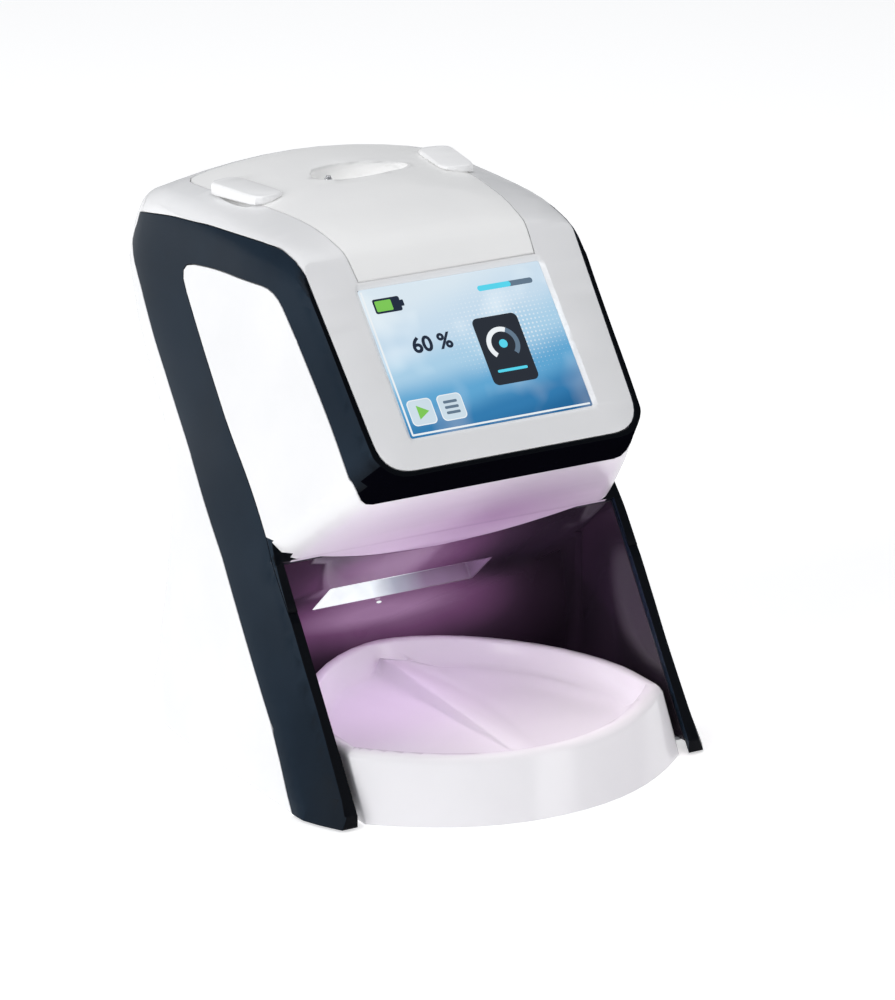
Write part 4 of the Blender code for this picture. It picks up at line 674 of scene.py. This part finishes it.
def form_of(meshes, rounds):
    """One rounded form over several pieces: a search tree and a direction for each of its faces."""
    shape = bmesh.new()
    for piece in meshes:
        shape.from_mesh(piece)
    made = placed("form", mesh_of("form", shape))
    step = made.modifiers.new("joined", "REMESH")
    step.mode = "VOXEL"
    step.voxel_size = FORM_VOXEL
    step = made.modifiers.new("rounded", "SMOOTH")
    step.factor = FORM_SMOOTHING
    step.iterations = rounds
    mesh = final_mesh(made)
    points = [tuple(point.co) for point in mesh.vertices]
    faces = [tuple(face.vertices) for face in mesh.polygons]
    normals = [point.normal.copy() for point in mesh.vertices]
    lean = [sum((normals[index] for index in face), Vector()).normalized() for face in faces]
    tree = BVHTree.FromPolygons(points, faces)
    bpy.data.objects.remove(made, do_unlink=True)
    bpy.data.meshes.remove(mesh)
    return tree, lean


def follow_form(mesh, form, by_face):
    """Shades the faces that lie along the rounded form with its direction."""
    tree, lean = form
    trust, doubt = FACE_AGREEMENT if by_face else CORNER_AGREEMENT
    corners = [Vector(normal.vector) for normal in mesh.corner_normals]
    for face in mesh.polygons:
        for corner in face.loop_indices:
            point = mesh.vertices[mesh.loops[corner].vertex_index].co
            _, _, index, _ = tree.find_nearest(point, FORM_REACH)
            if index is None:
                continue
            own = face.normal if by_face else corners[corner]
            agree = clamped((lean[index].dot(own) - doubt) / (trust - doubt))
            corners[corner] = corners[corner].lerp(lean[index], agree).normalized()
    mesh.normals_split_custom_set(corners)


# Faces in a second finish: the arms beside the chin, the frame's underside in painted shade and the lid's
# tabs with a faint painted glow

SECOND_FINISH = {"head_shell": "frame_dark", "top_cover": "tab_white_painted_glow", "side_frame": "prow_painted_shade"}
# The head shell goes dark in front of the chin's plane and past the chin's ends
CHIN_CLEAR = 0.0005
CHIN_END = 0.0925
CHIN_CORNER_Z = 0.1215
# It does so too at the foot of its side faces, and down the front strips of the arms
CHEEK_FOOT = 0.1275
CHEEK_LEAN = 0.85
STRIP_TOP = 0.135
STRIP_INSIDE = 0.085
STRIP_LEAN_Y, STRIP_LEAN_Z = -0.6, 0.3
# The frame's face under the bezel lies above this height and looks down and forward
PROW_FOOT = 0.13
PROW_LEAN_Y, PROW_LEAN_Z = -0.2, -0.3
# The lid's tabs: middle, turn and half size in plan, the foot of their sides and the height of their tops
TAB_PLACE = (0.0586, 0.0625)
TAB_TURN = math.radians(11)
TAB_HALF = (0.0098, 0.0213)
TAB_FOOT = 0.2762
TAB_RISE = 0.2786
TAB_SIDE_LEAN = 0.5


def darken_arms(shape):
    """The head shell's strips down the arms, and their front faces beside the chin, go dark."""
    middle, _, _, outward = CHIN_FACE
    cut(shape, middle + outward * CHIN_CLEAR, outward)
    for place in ((CHIN_END, 0, 0), (-CHIN_END, 0, 0), (0, 0, CHIN_CORNER_Z), (0, 0, CHEEK_FOOT)):
        cut(shape, place, place)
    shape.normal_update()
    for face in shape.faces:
        place = face.calc_center_median()
        below = (place - middle).dot(outward) > CHIN_CLEAR
        ahead = face.normal.y < STRIP_LEAN_Y and face.normal.z > STRIP_LEAN_Z
        strip = ahead and place.z < STRIP_TOP and abs(place.x) > STRIP_INSIDE
        end = abs(place.x) > CHIN_END and place.z < CHIN_CORNER_Z
        cheek = abs(face.normal.x) > CHEEK_LEAN and place.z < CHEEK_FOOT
        if below or strip or end or cheek:
            face.material_index = 1


def paint_prow_shade(shape):
    """The frame's face below the bezel takes a darker matt black without reflection: painted shade."""
    shape.normal_update()
    for face in shape.faces:
        under = face.normal.z < PROW_LEAN_Z and face.normal.y < PROW_LEAN_Y
        if under and face.calc_center_median().z > PROW_FOOT:
            face.material_index = 1


def whiten_tabs(shape):
    """The lid's two grip tabs take the surround's white."""
    shape.normal_update()
    for face in shape.faces:
        middle = face.calc_center_median()
        side = 1 if middle.x > 0 else -1
        shift = middle - Vector((side * TAB_PLACE[0], TAB_PLACE[1], 0.0))
        sine, cosine = math.sin(-side * TAB_TURN), math.cos(TAB_TURN)
        across, along = shift.x * cosine + shift.y * sine, shift.y * cosine - shift.x * sine
        inside = abs(across) < TAB_HALF[0] and abs(along) < TAB_HALF[1]
        flank = middle.z > TAB_FOOT and abs(face.normal.z) < TAB_SIDE_LEAN
        if inside and (middle.z > TAB_RISE or flank):
            face.material_index = 1


SHARP_ANGLE = math.radians(32)
NORMAL_WEIGHT = 60


def skin(name, source, form):
    """The visible copy of a node, in its finish, riding where the node rides."""
    slot = frame["nodes"][name].data.materials[0].name
    shape = bmesh.new()
    shape.from_mesh(source)
    if name == "head_shell":
        darken_arms(shape)
    if name == "top_cover":
        whiten_tabs(shape)
    if name == "side_frame":
        paint_prow_shade(shape)
    mesh = mesh_of(name + "_skin", shape)
    made = placed(name + "_skin", mesh)
    mesh.materials.append(FINISHES[slot])
    if name in SECOND_FINISH:
        mesh.materials.append(FINISHES[SECOND_FINISH[name]])
    mesh.shade_smooth()
    mesh.set_sharp_from_angle(angle=SHARP_ANGLE)
    step = made.modifiers.new("weighted", "WEIGHTED_NORMAL")
    step.keep_sharp = True
    step.weight = NORMAL_WEIGHT
    made.data = final_mesh(made)
    made.modifiers.clear()
    bpy.data.meshes.remove(mesh)
    if form is not None:
        follow_form(made.data, form, name != "receiving_tray")
    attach(made, body_of(name))
    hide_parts(name)


casing = {title: refined(title) for title in CASING}
casing_form = form_of(casing.values(), CASING_ROUNDS)
for title in frame["nodes"]:
    if title in CASING:
        skin(title, casing[title], casing_form)
        continue
    source = plain(title)
    skin(title, source, form_of([source], OTHER_ROUNDS) if title in ROUNDED else None)


# What the screen shows: flat pieces just above the glass, in millimetres across and up the slope

MM_PER_METRE = 1000
MOTIF_LIFT = 0.00006
MOTIF_STEP = 0.00004
MOTIF_DEPTH = 0.00003
NUMERAL_SIZE = 1.38
NUMERAL_WEIGHT = 0.040
BACKLIGHT = 0.92
BACKLIGHT_LOW = 0.94
LIT_COLOURS = {
    "ink": (0.010, 0.020, 0.045),
    "tile": (0.016, 0.022, 0.034),
    "white": (0.92, 0.97, 1.0),
    "pale": (0.66, 0.79, 0.88),
    "cyan": (0.10, 0.72, 0.92),
    "green": (0.22, 0.62, 0.10),
    "slate": (0.13, 0.20, 0.28),
}


def lit(name, colour):
    """A lit area of the display, with the faint unevenness of its backlight."""
    made, tree, shader, place = finish(name, (0.0, 0.0, 0.0), 0.10)
    low = tuple(channel * BACKLIGHT_LOW for channel in colour)
    give_light(tree, shader, ramp(tree, noise(tree, place, 60.0), ((0.3, low), (0.7, colour))), BACKLIGHT)
    return made


LIT = {title: lit("lit_" + title, colour) for title, colour in LIT_COLOURS.items()}


def on_glass(points, level):
    """Screen millimetres to places just above the glass."""
    middle, across, upward, outward = SCREEN_FACE
    lift = MOTIF_LIFT + MOTIF_STEP * level
    return [middle + across * (x / MM_PER_METRE) + upward * (y / MM_PER_METRE) + outward * (lift + rise)
            for x, y, rise in points]


def motif(name, mesh, finish_name):
    made = placed(name, mesh)
    mesh.materials.clear()
    mesh.materials.append(LIT[finish_name])
    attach(made, body_of("touch_glass"))


def flat(name, outlines, finish_name, level=0):
    """Thin plates through closed outlines, all in one piece."""
    points, faces = [], []
    for outline in outlines:
        first, count = len(points), len(outline)
        for rise in (0.0, MOTIF_DEPTH):
            points += on_glass([(x, y, rise) for x, y in outline], level)
        faces.append(tuple(range(first + count - 1, first - 1, -1)))
        faces.append(tuple(range(first + count, first + 2 * count)))
        for index in range(count):
            after = (index + 1) % count
            faces.append((first + index, first + after, first + count + after, first + count + index))
    mesh = bpy.data.meshes.new(name)
    mesh.from_pydata([tuple(point) for point in points], [], faces)
    motif(name, mesh, finish_name)


def card(x, y, half_wide, half_tall, corner, steps=6):
    """Outline of a rectangle with round corners."""
    outline = []
    for turn in range(4):
        centre_x = x + (half_wide - corner) * (1 if turn in (0, 3) else -1)
        centre_y = y + (half_tall - corner) * (1 if turn in (0, 1) else -1)
        for step in range(steps + 1):
            angle = math.pi / 2 * (turn + step / steps)
            outline.append((centre_x + corner * math.cos(angle), centre_y + corner * math.sin(angle)))
    return outline


def ring_part(x, y, inner, outer, start, end, steps=40):
    """Outline of part of a ring, between two angles in degrees."""
    outline = []
    for radius, order in ((outer, range(steps + 1)), (inner, range(steps, -1, -1))):
        for step in order:
            angle = math.radians(start + (end - start) * step / steps)
            outline.append((x + radius * math.cos(angle), y + radius * math.sin(angle)))
    return outline


def numerals(name, text, x, y, tall, finish_name):
    """Numerals as flat plates, centred on a place on the screen."""
    curve = bpy.data.curves.new(name, "FONT")
    curve.body = text
    curve.size = tall * NUMERAL_SIZE
    curve.offset = tall * NUMERAL_WEIGHT
    curve.align_x = "CENTER"
    curve.align_y = "CENTER"
    curve.resolution_u = 4
    maker = placed(name + "_maker", curve)
    mesh = final_mesh(maker)
    bpy.data.objects.remove(maker, do_unlink=True)
    spots = on_glass([(x + point.co.x, y + point.co.y, MOTIF_DEPTH) for point in mesh.vertices], 0)
    for point, spot in zip(mesh.vertices, spots):
        point.co = spot
    motif(name, mesh, finish_name)


# Places on the display, in millimetres from its middle
GAUGE_X = 16.0
GAUGE_RING = (6.6, 9.2)
GAUGE_START, GAUGE_DONE, GAUGE_END = -46, 63, 226
BUTTONS_X, BUTTONS_Y = (-41.5, -24.5), -28.0
CHARGE_Y = 30.5
STATUS_Y = 31.0


def make_display():
    flat("display_edge", (card(-50.9, 0.0, 0.5, 39.4, 0.3), card(0.0, -39.2, 51.2, 0.5, 0.3)), "white")
    flat("gauge_tile", (card(GAUGE_X, -3.0, 13.0, 18.5, 3.2),), "tile")
    flat("gauge_track", (ring_part(GAUGE_X, 0.0, *GAUGE_RING, GAUGE_START, GAUGE_END),), "slate", 1)
    flat("gauge_fill", (ring_part(GAUGE_X, 0.0, *GAUGE_RING, GAUGE_DONE, GAUGE_END),), "white", 2)
    marks = (card(GAUGE_X, -14.2, 8.6, 0.75, 0.7), card(GAUGE_X, 0.0, 2.3, 2.3, 2.2))
    flat("gauge_mark", marks, "cyan", 2)
    numerals("share_done", "60 %", -22.5, 6.5, 8.4, "ink")
    for index, x in enumerate(BUTTONS_X):
        flat(f"button_{index}_rim", (card(x, BUTTONS_Y, 7.0, 7.0, 2.6),), "white")
        flat(f"button_{index}_face", (card(x, BUTTONS_Y, 6.5, 6.5, 2.3),), "pale", 1)
    flat("button_0_sign", (((-43.7, -31.8), (-43.7, -24.2), (-37.4, BUTTONS_Y)),), "green", 2)
    bars = [card(BUTTONS_X[1], BUTTONS_Y + rise, 3.9, 0.75, 0.6) for rise in (-2.9, 0.0, 2.9)]
    flat("button_1_sign", bars, "slate", 2)
    flat("charge_case", (card(-39.0, CHARGE_Y, 7.6, 4.0, 1.2), card(-30.6, CHARGE_Y, 0.9, 1.7, 0.4)), "ink")
    flat("charge_level", (card(-41.0, CHARGE_Y, 4.6, 2.9, 0.6),), "green", 1)
    flat("status_track", (card(29.0, STATUS_Y, 16.0, 1.5, 1.4),), "slate")
    flat("status_fill", (card(22.6, STATUS_Y, 9.6, 1.5, 1.4),), "cyan", 1)


# Contacts inside the rear sockets, in metres

CONTACT_Y = 0.1212
CONTACT_SHARP = math.radians(40)
PIN_PLACES = ((-0.0265, 0.0345), (-0.0175, 0.0345), (-0.0220, 0.0388))
PIN_HALF_WIDE, PIN_HALF_TALL, PIN_END_Y = 0.0008, 0.0019, 0.1268
NETWORK_X, NETWORK_Z, NETWORK_END_Y = 0.0285, (0.0398, 0.0404), 0.1262
NETWORK_COUNT, NETWORK_PITCH, NETWORK_HALF_WIDE = 8, 0.0011, 0.0003
TONGUE_LOW, TONGUE_HIGH = (0.0058, CONTACT_Y, 0.0372), (0.0142, PIN_END_Y, 0.0379)


def rounded_bar(name, low, high, corner, finish_name, body):
    """A bar along Y with round edges, between two corners in metres."""
    shape = bmesh.new()
    bmesh.ops.create_cube(shape, size=1.0)
    span = [b - a for a, b in zip(low, high)]
    middle = [(a + b) / 2 for a, b in zip(low, high)]
    bmesh.ops.scale(shape, vec=span, verts=shape.verts)
    bmesh.ops.bevel(shape, geom=shape.edges[:], offset=corner, segments=2, profile=0.5, affect="EDGES")
    bmesh.ops.translate(shape, vec=middle, verts=shape.verts)
    mesh = mesh_of(name, shape)
    mesh.materials.append(FINISHES[finish_name])
    mesh.shade_smooth()
    mesh.set_sharp_from_angle(angle=CONTACT_SHARP)
    made = placed(name, mesh)
    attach(made, body)


def make_contacts():
    """Pins of the power inlet, contacts of the network socket and the tongue of the USB socket."""
    casing_body = body_of("power_inlet")
    for index, (x, z) in enumerate(PIN_PLACES):
        low = (x - PIN_HALF_WIDE, CONTACT_Y, z - PIN_HALF_TALL)
        high = (x + PIN_HALF_WIDE, PIN_END_Y, z + PIN_HALF_TALL)
        rounded_bar(f"inlet_pin_{index}", low, high, 0.0003, "socket_metal", casing_body)
    for index in range(NETWORK_COUNT):
        x = NETWORK_X + (index - (NETWORK_COUNT - 1) / 2) * NETWORK_PITCH
        low = (x - NETWORK_HALF_WIDE, CONTACT_Y, NETWORK_Z[0])
        high = (x + NETWORK_HALF_WIDE, NETWORK_END_Y, NETWORK_Z[1])
        rounded_bar(f"network_contact_{index}", low, high, 0.0001, "contact_gold",
                    casing_body)
    rounded_bar("usb_tongue", TONGUE_LOW, TONGUE_HIGH, 0.0002, "socket_black", casing_body)


LAMP_PLACE = (-0.0070, 0.0195, 0.0600)
LAMP_RADII = (0.0015, 0.0008, 0.0006)


def make_lamp():
    """Small status lamp let into the ceiling beside the exit slot."""
    shape = bmesh.new()
    bmesh.ops.create_uvsphere(shape, u_segments=20, v_segments=12, radius=1.0)
    bmesh.ops.scale(shape, vec=LAMP_RADII, verts=shape.verts)
    bmesh.ops.translate(shape, vec=LAMP_PLACE, verts=shape.verts)
    mesh = mesh_of("slot_lamp", shape)
    mesh.materials.append(LIT["white"])
    mesh.shade_smooth()
    made = placed("slot_lamp", mesh)
    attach(made, body_of("bay_liner"))


make_display()
make_contacts()
make_lamp()


# Studio

WHITE = (1.0, 1.0, 1.0)
STUDIO_AIM = (0, 0, 0.15)
# Soft light from outside: place, width and height, power
SOFTBOXES = (
    ("softbox_left", (-2.4, -0.3, 1.3), (1.8, 1.8), 35.0),
    ("softbox_top", (0.3, 0.5, 2.3), (1.8, 1.8), 16.0),
    ("softbox_front", (1.2, -2.4, 1.2), (1.0, 1.4), 9.0),
)
# Violet light of the bay, thrown on the chin and the tray: place, aim, width and height, power, colour
BAY_LIGHTS = (
    ("glow_up", (0.015, -0.045, 0.052), (0.020, -0.085, 0.150), (0.15, 0.07), 0.042, (0.80, 0.42, 0.86)),
    ("glow_down", (-0.010, -0.010, 0.090), (0.000, -0.060, 0.020), (0.10, 0.03), 0.060, (0.86, 0.60, 1.0)),
    ("glow_front", (0.030, -0.118, 0.125), (0.030, -0.098, 0.0), (0.13, 0.05), 0.055, (1.0, 0.86, 0.90)),
)
SKY_COLOUR, SKY_STRENGTH = (0.86, 0.88, 0.92, 1.0), 0.30
FLOOR_SIZE, FLOOR_COLOUR, FLOOR_ROUGHNESS, FLOOR_LIGHT = 30.0, (0.88, 0.88, 0.88), 0.85, 0.50
# Camera at the photograph's viewing angle
CAMERA_PLACE = (-1.2615, -2.17325, 0.9812)
CAMERA_TURN = math.radians(-30.58)
CAMERA_DROP = math.radians(18.91)
CAMERA_LENS = 186.7
CAMERA_SENSOR = 36.0


def area_light(name, place, aim, size, power, colour):
    light = bpy.data.lights.new(name, "AREA")
    light.shape = "RECTANGLE"
    light.size, light.size_y = size
    light.energy = power
    light.color = colour
    made = placed(name, light)
    made.location = place
    made.rotation_euler = (Vector(aim) - Vector(place)).to_track_quat("-Z", "Y").to_euler()
    return made


def make_studio():
    for name, place, size, power in SOFTBOXES:
        area_light(name, place, STUDIO_AIM, size, power, WHITE)
    for name, place, aim, size, power, colour in BAY_LIGHTS:
        lamp = area_light(name, place, aim, size, power, colour)
        lamp.visible_camera = False
        lamp.visible_glossy = False
    world = bpy.data.worlds.new("studio")
    bpy.context.scene.world = world
    world.use_nodes = True
    background = world.node_tree.nodes["Background"]
    background.inputs["Color"].default_value = SKY_COLOUR
    background.inputs["Strength"].default_value = SKY_STRENGTH

    bpy.ops.mesh.primitive_plane_add(size=FLOOR_SIZE, location=(0, 0, 0))
    floor = bpy.context.object
    floor.name = "studio_floor"
    pale = finish("floor_pale", FLOOR_COLOUR, FLOOR_ROUGHNESS, Emission_Color=(*WHITE, 1.0),
                  Emission_Strength=FLOOR_LIGHT)[0]
    floor.data.materials.append(pale)


def make_camera():
    camera = bpy.data.cameras.new("camera")
    camera.lens = CAMERA_LENS
    camera.sensor_width = CAMERA_SENSOR
    made = placed("camera", camera)
    made.location = CAMERA_PLACE
    made.rotation_euler = (math.pi / 2 - CAMERA_DROP, 0.0, CAMERA_TURN)
    bpy.context.scene.camera = made


make_studio()
make_camera()
bpy.context.scene.view_settings.view_transform = "Standard"

bpy.context.view_layer.update()
